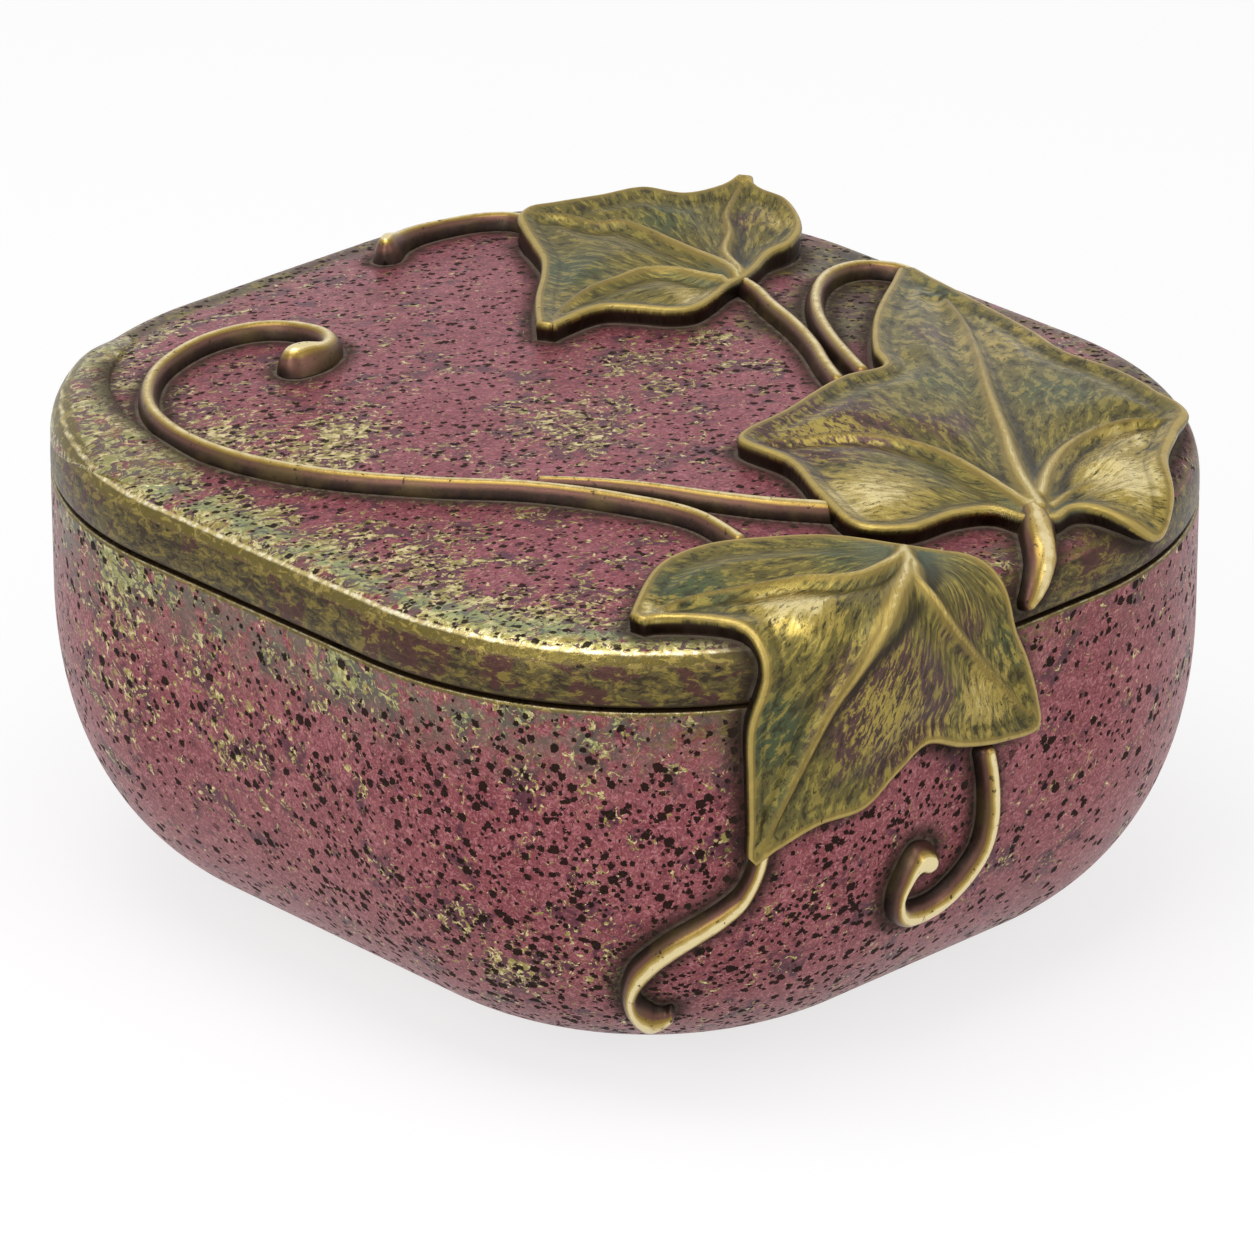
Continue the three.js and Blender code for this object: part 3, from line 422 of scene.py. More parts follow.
felt_r = FOOT_R - FELT_IN + FELT_PLAY
body_line = straight((0, FELT_SUNK), (felt_r, FELT_SUNK), 6) + [(felt_r, FELT_SUNK), (felt_r, FOOT)]
body_line += body_outer[::-1]
body_line += straight((CORNER, BULGE_TOP), (CORNER, BODY_TOP - 1.8), 1.3)[1:]
body_line += [(CORNER, BODY_TOP - down) for down in (1.8, 1.1, 0.75)]
body_line += [(CORNER, BODY_TOP - 0.5), (CORNER - 0.12, BODY_TOP - 0.15), (CORNER - 0.45, BODY_TOP)]
lip, ledge = BODY_TOP + LIP_UP, BODY_TOP - LEDGE_DOWN
body_line += [(RIM_R + 1.5, BODY_TOP), (RIM_R + 1.2, BODY_TOP + 0.3), (RIM_R + 1.2, lip - 0.2)]
body_line += [(RIM_R + 1, lip), (RIM_R + 0.2, lip), (RIM_R, lip - 0.2)]
body_line += [(RIM_R, ledge + 0.2), (RIM_R + 0.2, ledge), (CORNER - WALL, ledge)]
body_line += body_inner[:-1:4] + [(FOOT_R, FOOT + WALL)]
body_line += [(10, FOOT + WALL), (0, FOOT + WALL)]
body_casting = made(carried_round(body_line, 72, 15, 20), "body_casting")
body_lustre = raspberry_lustre("raspberry_lustre_body", BODY_SHADES, DOWN_THE_SIDES, 1.5, BODY_PITS)
body_casting.data.materials.append(body_lustre)
cut_away(body_casting, (-RECESS_HALF, RECESS_HALF), RECESS_DEEP, (RECESS_FOOT, SEAM))
cut_away(body_casting, (-NOTCH_HALF, NOTCH_HALF), NOTCH_DEEP, (BODY_TOP, NOTCH_TOP))
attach(body_casting, "body")
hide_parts("body_shell")


# Lid casting: a thinner shell of the same bronze, lightly domed, with its edge rounded over and rubbed
# bright. It is screwed to the hinge behind, and its dome takes the soldered ivy.
LID_RIM = 3.7
LID_CEILING = 3.2
CEILING_STEPS = 9
COVE_STEPS = 8
# The lid's shades are a darker copy of the body's: painted shade on the lid's top, which faces the lamps
LID_SHADES_DARKENED = "#873e48", "#95505a", "#662e38", "#c48087", "#4d1e28"
LID_PITS = [(1.4, 0.6), (0.9, 0.58)]
ACROSS_THE_TOP = Vector((0.81, -0.45, 0)).rotation_difference(UPRIGHT).to_euler()
lid_line = [(r, z - LID_CEILING) for r, z in lid_outline(CEILING_STEPS, 2)[:CEILING_STEPS + 1]]
ceiling_r = CORNER - LID_RIM - EDGE_IN
lid_line = [(r * ceiling_r / LID_TOP_R, z) for r, z in lid_line]
for i in range(1, COVE_STEPS + 1):
    a = math.pi / 2 * i / COVE_STEPS
    cove_z = SEAM + LID_SIDE + (EDGE_UP - LID_CEILING) * math.cos(a)
    lid_line.append((ceiling_r + EDGE_IN * math.sin(a), cove_z))
lid_line += [(CORNER - LID_RIM, LID_FOOT + 0.2), (CORNER - LID_RIM + 0.2, LID_FOOT)]
lid_line += [(CORNER - 1.3, LID_FOOT), (CORNER - 0.6, LID_FOOT + 0.2), (CORNER - 0.15, LID_FOOT + 0.6)]
lid_line += lid_outline(46, 26)[::-1]
lid_casting = made(carried_round(lid_line, 72, 16, 22), "lid_casting")
lid_lustre = raspberry_lustre("raspberry_lustre_lid_darkened", LID_SHADES_DARKENED, ACROSS_THE_TOP, 1.35, LID_PITS)
lid_casting.data.materials.append(lid_lustre)


# Vines and tendrils: half-round bronze rods, drawn and bent to shape, tapered by file, then soldered
# down along their whole length. Three of them end in a rounded bulb.
# The ornament is drawn as [u, w] on the castings' skin rolled out flat, as seen from above, in mm:
# u is across from the middle, w up from the front seam, and height stands out from the skin.
SKIN_FRONT = 94.4
ROD_AROUND = 22
ROD_STEP = 0.9
END_ROWS = 7
skin = lid_outline(60, 60) + body_outline(80)
skin_out = moved_out(skin, 1)
skin_length = [0.0]
for before, after in zip(skin, skin[1:]):
    skin_length.append(skin_length[-1] + math.dist(before, after))


def on_skin(u, w, height):
    """The place in space of a spot of the drawing, height above the castings."""
    v = w - SKIN_FRONT
    near = Vector((min(max(u, -HALF_ACROSS), HALF_ACROSS), min(max(v, -HALF_ALONG), HALF_ALONG)))
    away = Vector((u, v)) - near
    distance = away.length
    if distance < 1e-6:
        return Vector((u, v, skin[0][1] + height))
    away /= distance
    low, high = 0, len(skin_length) - 1
    while high - low > 1:
        middle = (low + high) // 2
        if skin_length[middle] <= distance:
            low = middle
        else:
            high = middle
    t = min((distance - skin_length[low]) / (skin_length[high] - skin_length[low]), 1)
    r = skin[low][0] * (1 - t) + skin[high][0] * t
    z = skin[low][1] * (1 - t) + skin[high][1] * t
    r1 = skin_out[low][0] * (1 - t) + skin_out[high][0] * t
    z1 = skin_out[low][1] * (1 - t) + skin_out[high][1] * t
    r += height * (r1 - r)
    z += height * (z1 - z)
    return Vector((near.x + away.x * r, near.y + away.y * r, z))


def smooth_line(points, per_span, closed=False):
    """A smooth line through the points, eased at sharp turns, with its points close together."""
    count = len(points)
    spots = [Vector(p) for p in points]
    line = []
    for i in range(count if closed else count - 1):
        if closed:
            a, b, c, d = (spots[(i + k) % count] for k in (-1, 0, 1, 2))
        else:
            b, c = spots[i], spots[i + 1]
            a = spots[i - 1] if i > 0 else 2 * b - c
            d = spots[i + 2] if i + 2 < count else 2 * c - b
        ab, bc, cd = ((q - p).length ** 0.5 for p, q in ((a, b), (b, c), (c, d)))
        leave = ((b - a) / ab - (c - a) / (ab + bc) + (c - b) / bc) * bc
        arrive = ((c - b) / bc - (d - b) / (bc + cd) + (d - c) / cd) * bc
        for k in range(per_span):
            t = k / per_span
            bend = (3 * (c - b) - 2 * leave - arrive) * t**2
            line.append(b + leave * t + bend + (2 * (b - c) + leave + arrive) * t**3)
    if not closed:
        line.append(spots[-1])
    return line


def evenly(line, count):
    """The same line as count + 1 points, evenly spread."""
    run = [0.0]
    for before, after in zip(line, line[1:]):
        run.append(run[-1] + (after - before).length)
    spread = []
    k = 0
    for i in range(count + 1):
        goal = run[-1] * i / count
        while k < len(run) - 2 and run[k + 1] < goal:
            k += 1
        t = (goal - run[k]) / max(run[k + 1] - run[k], 1e-9)
        spread.append(line[k].lerp(line[k + 1], min(t, 1)))
    return spread, run[-1]


def ease(x):
    """From 0 to 1, slow at both ends."""
    x = min(max(x, 0), 1)
    return x * x * (3 - 2 * x)


def between_values(values, share):
    """The width or height at a share of the way, eased from each value to the next."""
    place = share * (len(values) - 1)
    i = min(int(place), len(values) - 2)
    return values[i] + (values[i + 1] - values[i]) * ease(place - i)


def length_of(route):
    return sum(math.dist(a, b) for a, b in zip(route, route[1:]))


def rod_section(turn):
    """Round the rod: [share of half width, share of height], the flat underside at -1."""
    if turn < 0.08:
        return -1 + turn / 0.08 * -0.06 + 0.06, -1 + turn / 0.08
    if turn > 0.92:
        return 1 - (1 - turn) / 0.08 * -0.06 - 0.06, -(turn - 0.92) / 0.08
    a = -math.cos(math.pi * (turn - 0.08) / 0.84)
    return a, (1 - abs(a) ** 2.3) ** (1 / 1.9)


def vine(
    name, route, wide=(3.4, 3.4), high=(2.9, 2.9), bulb=0.0, polish=0.0, sunk=0.35, section=rod_section
):
    """A rod laid along its route, widths and heights in mm from start to end.

    A bulb is the radius of the swollen end at the start. Polish is how much more its crest is worn
    bright, which also lightens its painted highlight.
    """
    line, length = evenly(smooth_line(route, 16), max(12, round(length_of(route) / ROD_STEP)))
    count = len(line) - 1
    start, end = bulb or wide[0] / 2, wide[-1] / 2
    bm = bmesh.new()
    crest = bm.verts.layers.float.new("crest")
    outward = bm.verts.layers.float_vector.new("outward")
    bmesh.ops.create_grid(bm, x_segments=count, y_segments=ROD_AROUND, size=1)
    for v in bm.verts:
        turn = (v.co.y + 1) / 2
        row = (v.co.x + 1) / 2 * count
        if row < END_ROWS:
            distance = start * (1 - math.cos(math.pi / 2 * row / END_ROWS))
        elif row > count - END_ROWS:
            distance = length - end * (1 - math.cos(math.pi / 2 * (count - row) / END_ROWS))
        else:
            distance = start + (length - start - end) * (row - END_ROWS) / (count - 2 * END_ROWS)
        share = distance / length
        place = share * count
        i = min(int(place), count - 1)
        p = line[i].lerp(line[i + 1], place - i)
        t = (line[min(i + 2, count)] - line[max(i - 1, 0)]).normalized()
        half = between_values(wide, share) / 2
        size = half + (start - half) * (1 - ease((distance - 1.2 * start) / (2 * start)))
        if distance < start:
            size *= math.sqrt(max(1 - (1 - distance / start) ** 2, 0))
        if length - distance < end:
            size *= math.sqrt(max(1 - (1 - (length - distance) / end) ** 2, 0))
        size = max(size, 0.02)
        rise = between_values(high, share) * size / half
        a, b = section(turn)
        if bulb and b > 0:
            b **= 1 + 0.8 * (1 - ease((distance - start) / (2 * start)))
        height = b * rise if b > 0 else b * sunk
        u, w = p.x + t.y * a * size, p.y - t.x * a * size
        v.co = on_skin(u, w, height)
        v[outward] = on_skin(u, w, height + 1) - v.co
        v[crest] = polish
        # A bulb gets more crest: more gold and painted highlight on it
        if bulb:
            v[crest] += 0.2 * (1 - ease((distance - start) / (2.5 * start)))
    bmesh.ops.remove_doubles(bm, verts=bm.verts, dist=0.01)
    bmesh.ops.holes_fill(bm, edges=[e for e in bm.edges if e.is_boundary], sides=0)
    bmesh.ops.recalc_face_normals(bm, faces=bm.faces)
    bm.normal_update()
    # Crest from how squarely each spot faces out: it sets the gold and painted highlight on top and the
    # painted shade at the foot
    for v in bm.verts:
        facing = v.normal.dot(v[outward])
        v[crest] = min(v[crest] * (0.3 + facing), 0.3) + max(facing, 0)
    bm.verts.layers.float_vector.remove(outward)
    return made(bm, name)


# Patinated bronze, rubbed by hand: metallic and gold on the crests with a painted highlight along the
# top, rosy brown on the slopes and dark at the foot, soot where no cloth reaches and painted shade.
# Crest is 1 where the surface faces straight out, 0 where it stands upright. Clouds of 9 mm and mottle
# of 2.2 mm are patina, and the 0.45 mm grain is drawn coarse.
RELIEF_FINE = 0.12 * MM
BRONZE_DULL, BRONZE_BRIGHT = 0.36, 0.2


def rod_finish(name):
    material, tree, shader = started(name)
    place = add(tree, "TexCoord", give="Object")
    crest = add(tree, "Attribute", give="Fac", attribute_name="crest")
    noise = {}
    for label, size, detail in (
        ("clouds", 9, 4), ("mottle", 2.2, 5), ("specks", 1.1, 4), ("grain", 0.45, 2),
    ):
        noise[label] = add(tree, "TexNoise", {
            "Vector": place, "Scale": 1 / (size * MM), "Detail": detail, "Roughness": 0.62,
        })
    height = add(tree, "Math", {0: noise["mottle"], 1: 0.16, 2: crest}, operation="MULTIPLY_ADD")
    # Darkest at the foot: soot and painted shade
    colour = linear("#241b16")
    for shade, source, low, high, share in (
        ("#38271f", height, 0.1, 0.36, 1.0),
        ("#6b4a3f", height, 0.34, 0.62, 0.95),
        ("#62542f", noise["clouds"], 0.44, 0.7, 0.6),
        ("#4f372e", noise["mottle"], 0.5, 0.7, 0.5),
        ("#8a7139", height, 0.68, 0.88, 0.95),
        ("#b99f5d", height, 0.88, 1.02, 0.9),
        # Painted highlight along the top
        ("#efe0b0", height, 1.02, 1.1, 0.75),
        ("#2e271d", noise["specks"], 0.37, 0.32, 0.85),
    ):
        amount = add(
            tree, "MapRange", {0: source, 1: low, 2: high, 4: share}, interpolation_type="SMOOTHSTEP"
        )
        colour = add(tree, "Mix", {0: amount, 6: colour, 7: linear(shade)}, give=2, data_type="RGBA")
    tree.links.new(colour, shader.inputs["Base Color"])
    rough = add(tree, "MapRange", {0: crest, 1: 0.3, 2: 0.9, 3: BRONZE_DULL, 4: BRONZE_BRIGHT})
    rough = add(tree, "Math", {0: noise["grain"], 1: 0.14, 2: rough}, operation="MULTIPLY_ADD")
    tree.links.new(rough, shader.inputs["Roughness"])
    metal = add(tree, "MapRange", {0: crest, 1: 0.1, 2: 0.8, 3: 0.5, 4: 1.0})
    tree.links.new(metal, shader.inputs["Metallic"])
    dents = add(tree, "Math", {0: noise["grain"], 1: 0.35, 2: noise["mottle"]}, operation="MULTIPLY_ADD")
    bump = add(tree, "Bump", {"Height": dents, "Strength": 0.5, "Distance": RELIEF_FINE})
    tree.links.new(bump, shader.inputs["Normal"])
    return material


rod_bronze = rod_finish("relief_bronze_rods")
BRONZE_RODS = {
    "tendril_scroll": dict(
        bulb=3.3,
        wide=(5, 3.4, 3.4, 3.4, 3.4, 3.4, 3.4, 3.4), high=(3.6, 2.9, 2.9, 2.9, 2.9, 2.9, 2.9, 2.9),
        route=[
            (-34.3, 139.2), (-31.2, 138.6), (-26.4, 138), (-22.6, 139.8), (-20.6, 143.3), (-20.5, 147.5),
            (-22.3, 152.2), (-26.5, 155.8), (-35.5, 157.4), (-48, 153.5), (-57.5, 144.5), (-62, 132.5),
            (-62, 119), (-57, 103), (-48, 87.5), (-38.5, 74.5), (-31.5, 60.5), (-27.5, 49), (-28.5, 37),
        ],
    ),
    "vine_stub": dict(
        wide=(2.4, 4.2),
        route=[(-37, 76), (-31, 68.5), (-26, 61), (-21.5, 53), (-16, 45), (-8.2, 36.4)],
    ),
    "tendril_back": dict(
        bulb=2.5,
        wide=(4, 3.2, 3.4), high=(3.6, 2.9, 2.9),
        route=[
            (12.8, 165.6), (16, 168), (20.1, 169.6), (24.6, 170.2), (30.3, 169.3), (35.7, 167.4),
            (39.5, 164), (40.4, 160), (39.5, 153),
        ],
    ),
    "vine_stem_back": dict(route=[
        (45.6, 114.5), (44, 108.5), (41.5, 103), (37.5, 92.5), (33.5, 84.5), (29.5, 78), (25.3, 70.2),
    ]),
    "vine_stem_loop": dict(route=[
        (71, 96), (72, 102.5), (69.4, 106.4), (66.5, 107.9), (61.4, 107.8), (55.2, 105), (49.3, 100.2),
        (43.8, 93.9), (38.7, 86), (34.4, 77.6), (31, 70.2),
    ]),
    "tendril_front_tip": dict(
        polish=0.03,
        wide=(4.2, 4.2, 4.6, 5.2, 6.4, 7.2, 3.4), high=(2.9, 2.9, 2.9, 3, 3.3, 3.4, 2.4),
        route=[
            (-60, -12), (-64.2, -16.4), (-69.7, -19.1), (-75.1, -19.1), (-81.7, -17.8), (-90, -15.4),
            (-97.6, -13.5), (-103.3, -12.9), (-107.2, -14.4), (-108.8, -18.2), (-107.5, -23.9),
            (-103.5, -27.9), (-98.8, -29.2),
        ],
    ),
    "tendril_front_curl": dict(
        bulb=2.9, polish=0.03,
        wide=(5.4, 4.8, 4.2, 3.8, 3.6), high=(3.3, 3.1, 3, 2.9, 2.9),
        route=[
            (-16.2, -36), (-18.2, -33.8), (-21.2, -33.2), (-24, -35.4), (-26, -38.6), (-24.4, -41.8),
            (-18.4, -44.3), (-13, -44), (-8.4, -41), (-5.2, -36.8), (-4.2, -32), (-4.6, -26),
            (-5.6, -20.5), (-6.6, -17.2),
        ],
    ),
}
rods = []
for node_name, shape in BRONZE_RODS.items():
    rod = vine(node_name + "_rod", **shape)
    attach(rod, "body" if "front" in node_name else "lid")
    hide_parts(node_name)
    rod.data.materials.append(rod_bronze)
    rods.append(rod)


# Ivy leaves: each a bronze casting with a rolled rim, raised ribs and chased hollows between them,
# soldered to the lid. The front leaf hangs over the seam and clears the body, so the lid can open.
# Sizes are in mm. The blade is thickest far from its ribs, and the rim rolls up round it.
CELL = 0.62
RIM_ROLL = 0.9
BLADE_THIN, BLADE_SWELL, SWELL_RUN = 2.0, 1.55, 7.5
ROLL_HIGH, ROLL_RUN = 1.3, 3.6
RIB_SPREAD, RIB_STAND = 1.3, 0.86
# Painted shade: how far it runs from a rib's foot on the side away from the light, and how far in from
# the edge its line inside the rim lies, in mm
LEE_SHADE_RUN, RIM_SHADE_IN = 2.6, 3.1
AWAY_FROM_WINDOW = Vector((0.8, -0.6, 0))
FAN_ARM, FAN_DRAW = 30, 3.2
SOLDER_SINK, SEAM_CLEAR, CLEAR_GROWS = 0.35, 0.35, 0.025
CHASED_DEEP = 0.2 * MM


# Patinated bronze, chased with a punch and brushed from the stalk outwards: gold where it was rubbed,
# with painted highlights there and on the crests of rim and ribs, green and plum zones, painted shade
# beside the ribs, inside the rim and on the walls, and a bright metallic rim. Strokes of 0.55 mm and
# mottle of 1.2 mm fan out from the stalk, drawn about twice as coarse as the real brush marks.
def leaf_finish(name):
    material, tree, shader = started(name)
    place = add(tree, "TexCoord", give="Object")
    zone = {}
    for label in (
        "crest", "hollow", "heart", "wall", "rubbed", "verdant", "wine", "fan_turn", "fan_run",
    ):
        zone[label] = add(tree, "Attribute", give="Fac", attribute_name=label)
    brushed = add(tree, "CombineXYZ", {"X": zone["fan_turn"], "Y": zone["fan_run"]})
    noise = {}
    for label, vector, size, detail, distortion in (
        ("clouds", place, 11, 5, 0.4), ("patches", brushed, 3.4, 6, 0.3),
        ("mottle", brushed, 1.2, 6, 0.35), ("scratches", brushed, 0.55, 4, 0.8),
        ("grain", place, 0.4, 2, 0.0),
    ):
        noise[label] = add(tree, "TexNoise", {
            "Vector": vector, "Scale": 1 / (size * MM), "Detail": detail, "Roughness": 0.64,
            "Distortion": distortion,
        })
    shine = add(tree, "Math", {0: noise["mottle"], 1: 1.5, 2: zone["rubbed"]}, operation="MULTIPLY_ADD")
    green = add(tree, "Math", {0: noise["mottle"], 1: 1.6, 2: zone["verdant"]}, operation="MULTIPLY_ADD")
    wine = add(tree, "Math", {0: noise["patches"], 1: 1.4, 2: zone["wine"]}, operation="MULTIPLY_ADD")
    fleck = add(tree, "Math", {0: noise["scratches"], 1: 2.0, 2: zone["wine"]}, operation="MULTIPLY_ADD")
    crest = add(tree, "Math", {0: noise["mottle"], 1: 0.2, 2: zone["crest"]}, operation="MULTIPLY_ADD")
    colour = linear("#6d6334")
    for shade, source, low, high, share in (
        ("#58502b", noise["clouds"], 0.52, 0.62, 0.8),
        ("#4a563a", green, 1.15, 1.6, 0.9),
        ("#573a3d", wine, 0.95, 1.3, 0.9),
        ("#9a8a45", noise["mottle"], 0.5, 0.58, 0.75),
        ("#b09c4c", fleck, 1.8, 2.0, 0.8),
        ("#2f2a1a", noise["mottle"], 0.45, 0.38, 0.75),
        # Rubbed gold, brightest as a painted highlight
        ("#ab964f", shine, 1.05, 1.4, 0.9),
        ("#e3d195", shine, 1.4, 1.75, 0.9),
        ("#3a3320", noise["scratches"], 0.45, 0.37, 0.7),
        # Painted shade in the lee of the ribs and inside the rim
        ("#241f16", zone["hollow"], 0.05, 0.9, 0.85),
        ("#5c6858", zone["heart"], 0.0, 1.0, 0.6),
        # Gold on the crests of rim and ribs, and a painted highlight line on top
        ("#8a763c", crest, 0.4, 0.75, 0.85),
        ("#b9a15a", crest, 0.8, 1.02, 0.85),
        ("#f0e2b2", crest, 1.02, 1.14, 0.75),
        # Painted shade on the leaf's walls and underside
        ("#33251c", zone["wall"], 0.25, 0.7, 1.0),
        ("#2b2519", noise["scratches"], 0.35, 0.3, 0.85),
    ):
        amount = add(
            tree, "MapRange", {0: source, 1: low, 2: high, 4: share}, interpolation_type="SMOOTHSTEP"
        )
        colour = add(tree, "Mix", {0: amount, 6: colour, 7: linear(shade)}, give=2, data_type="RGBA")
    tree.links.new(colour, shader.inputs["Base Color"])
    polish = add(tree, "Math", {0: crest, 1: shine}, operation="MAXIMUM")
    rough = add(tree, "MapRange", {0: polish, 1: 0.6, 2: 1.4, 3: BRONZE_DULL, 4: BRONZE_BRIGHT})
    rough = add(tree, "Math", {0: noise["grain"], 1: 0.14, 2: rough}, operation="MULTIPLY_ADD")
    tree.links.new(rough, shader.inputs["Roughness"])
    metal = add(tree, "MapRange", {0: polish, 1: 0.6, 2: 1.4, 3: 0.6, 4: 1.0})
    tree.links.new(metal, shader.inputs["Metallic"])
    dents = add(
        tree, "Math", {0: noise["scratches"], 1: 0.5, 2: noise["mottle"]}, operation="MULTIPLY_ADD"
    )
    bump = add(tree, "Bump", {"Height": dents, "Strength": 0.8, "Distance": CHASED_DEEP})
    tree.links.new(bump, shader.inputs["Normal"])
    return material


def no_lift(u, w):
    return 0.0


def back_lift(u, w):
    """The back leaf bends up off the dome towards the lid's back corner."""
    heading = math.radians(46.4)
    along = u * math.cos(heading) + (w - SKIN_FRONT) * math.sin(heading)
    return 0.004 * max(along - 45, 0) ** 2


# Outlines run round the edge, and each rib is its route from the stalk, its width and its height
LEAVES = {
    "ivy_leaf_front": dict(
        lift=no_lift, junction=(-11.5, 19.5),
        outline=[
            (-11, 21), (-17.5, 29.5), (-25.5, 35), (-34.5, 39.5), (-43.5, 40), (-53.5, 35), (-60, 29.5),
            (-56.5, 27.5), (-51.5, 22.5), (-48, 17), (-48.5, 13), (-55, 6.5), (-59, -0.5), (-63, -8),
            (-66, -14), (-59, -15), (-49, -16), (-38, -18), (-29, -15), (-21, -12.5), (-13, -15.5),
            (-4, -17.5), (4.5, -17.5), (4, -12), (1.5, -4.5), (-1.5, 2), (-3, 9), (-6, 14),
        ],
        ribs=[
            ([(-12.5, 18.5), (-13.5, 17), (-18, 12.5), (-23, 10.5), (-32.5, 6.5), (-39.5, 2.5),
              (-48, -4), (-57, -10), (-63, -13.5)], 2.7, 2.8),
            ([(-12.5, 18.5), (-14.5, 17.5), (-18.5, 17), (-23, 17), (-26.5, 18.5), (-30.5, 21.5),
              (-35, 23.5), (-40, 25.5), (-48.5, 29), (-56, 29.5)], 2.4, 2.5),
            ([(-13.5, 17), (-14.5, 14), (-17.5, 11), (-17, 8), (-15.5, 5.5), (-12, 1.5), (-7.5, -4),
              (-3, -9), (2, -14.5)], 2.3, 2.35),
        ],
    ),
    "ivy_leaf_side": dict(
        lift=no_lift, junction=(14.5, 15.5),
        outline=[
            (15, 12), (20, 12.5), (25.5, 8.5), (32.5, 6), (38, 10), (44.5, 16.5), (54, 23), (61.5, 28.5),
            (63.5, 36), (64.5, 45), (63, 56), (65.5, 65.5), (68.5, 80.5), (71, 94), (72, 102),
            (63, 96.5), (48.5, 86), (38, 75.5), (34, 69.5), (26, 70.5), (9.5, 67), (-4, 64),
            (-4.5, 52), (-9, 41), (-12, 29), (-6, 23.5), (3.5, 22.5), (9, 20), (11, 15),
        ],
        ribs=[
            ([(14.5, 15.5), (20.5, 26), (29.5, 38), (38.5, 50), (50, 64), (59, 76),
              (64.5, 85)], 3.1, 3.1),
            ([(14, 17), (15, 23.5), (16, 30.5), (16.5, 38.5), (15.5, 44.5), (13, 50), (9.5, 54),
              (2, 58.5), (-3, 61.5)], 2.3, 2.5),
            ([(18, 18.5), (24, 23), (31, 27), (38.5, 29.5), (45, 30.5), (51, 30), (56, 27.5),
              (60, 28)], 2.6, 2.6),
            ([(18, 16), (25, 18), (30.5, 18.5)], 1.7, 1.2),
        ],
    ),
    "ivy_leaf_back": dict(
        lift=back_lift, junction=(44, 112.5),
        outline=[
            (50, 114.5), (56, 117.5), (62, 118.5), (68, 122.5), (72, 130.5), (71, 135.5), (72.5, 140.5),
            (66, 140.5), (60, 142.5), (56, 148.5), (49, 151.5), (42, 155), (37.8, 157), (34.2, 155.8),
            (31.4, 151.6), (28.6, 146.4), (25.5, 141), (20.5, 135.7), (13, 129), (7, 122.5), (3, 117),
            (9, 118), (18, 118), (21.5, 114.5), (25, 109.5), (29, 107.5), (35, 109), (41, 111.5),
            (45, 112.5),
        ],
        ribs=[
            ([(44, 112.5), (46, 118.5), (46, 125.5), (46, 131.5), (46, 137.5), (45, 142.5), (42, 144.5),
              (40, 150.5), (36, 155.5)], 2.4, 2.5),
            ([(46, 114.5), (50, 122.5), (56, 127.5), (60, 132.5), (66, 136.5), (71, 139.5)], 2.1, 2.3),
            ([(42, 112), (40, 116), (38, 122), (34, 125.5), (29, 125.5), (22.5, 125.5), (14.5, 123),
              (5.5, 118)], 2.3, 2.4),
        ],
    ),
}


def nearest_of(line):
    """A search for the nearest point of a drawn line."""
    tree = KDTree(len(line))
    for i, p in enumerate(line):
        tree.insert((p.x, p.y, 0), i)
    tree.balance()
    return tree


def underside(u, w, lift):
    """Sunk a little into the lid; over the body, a clear gap that grows downwards."""
    raised = lift(u, w)
    z = on_skin(u, w, 0).z
    gap = SEAM_CLEAR + CLEAR_GROWS * (SEAM - z)
    seated = max(-SOLDER_SINK, min(1.3 * raised - 1.6, raised))
    return seated if z > SEAM + 1.5 else gap


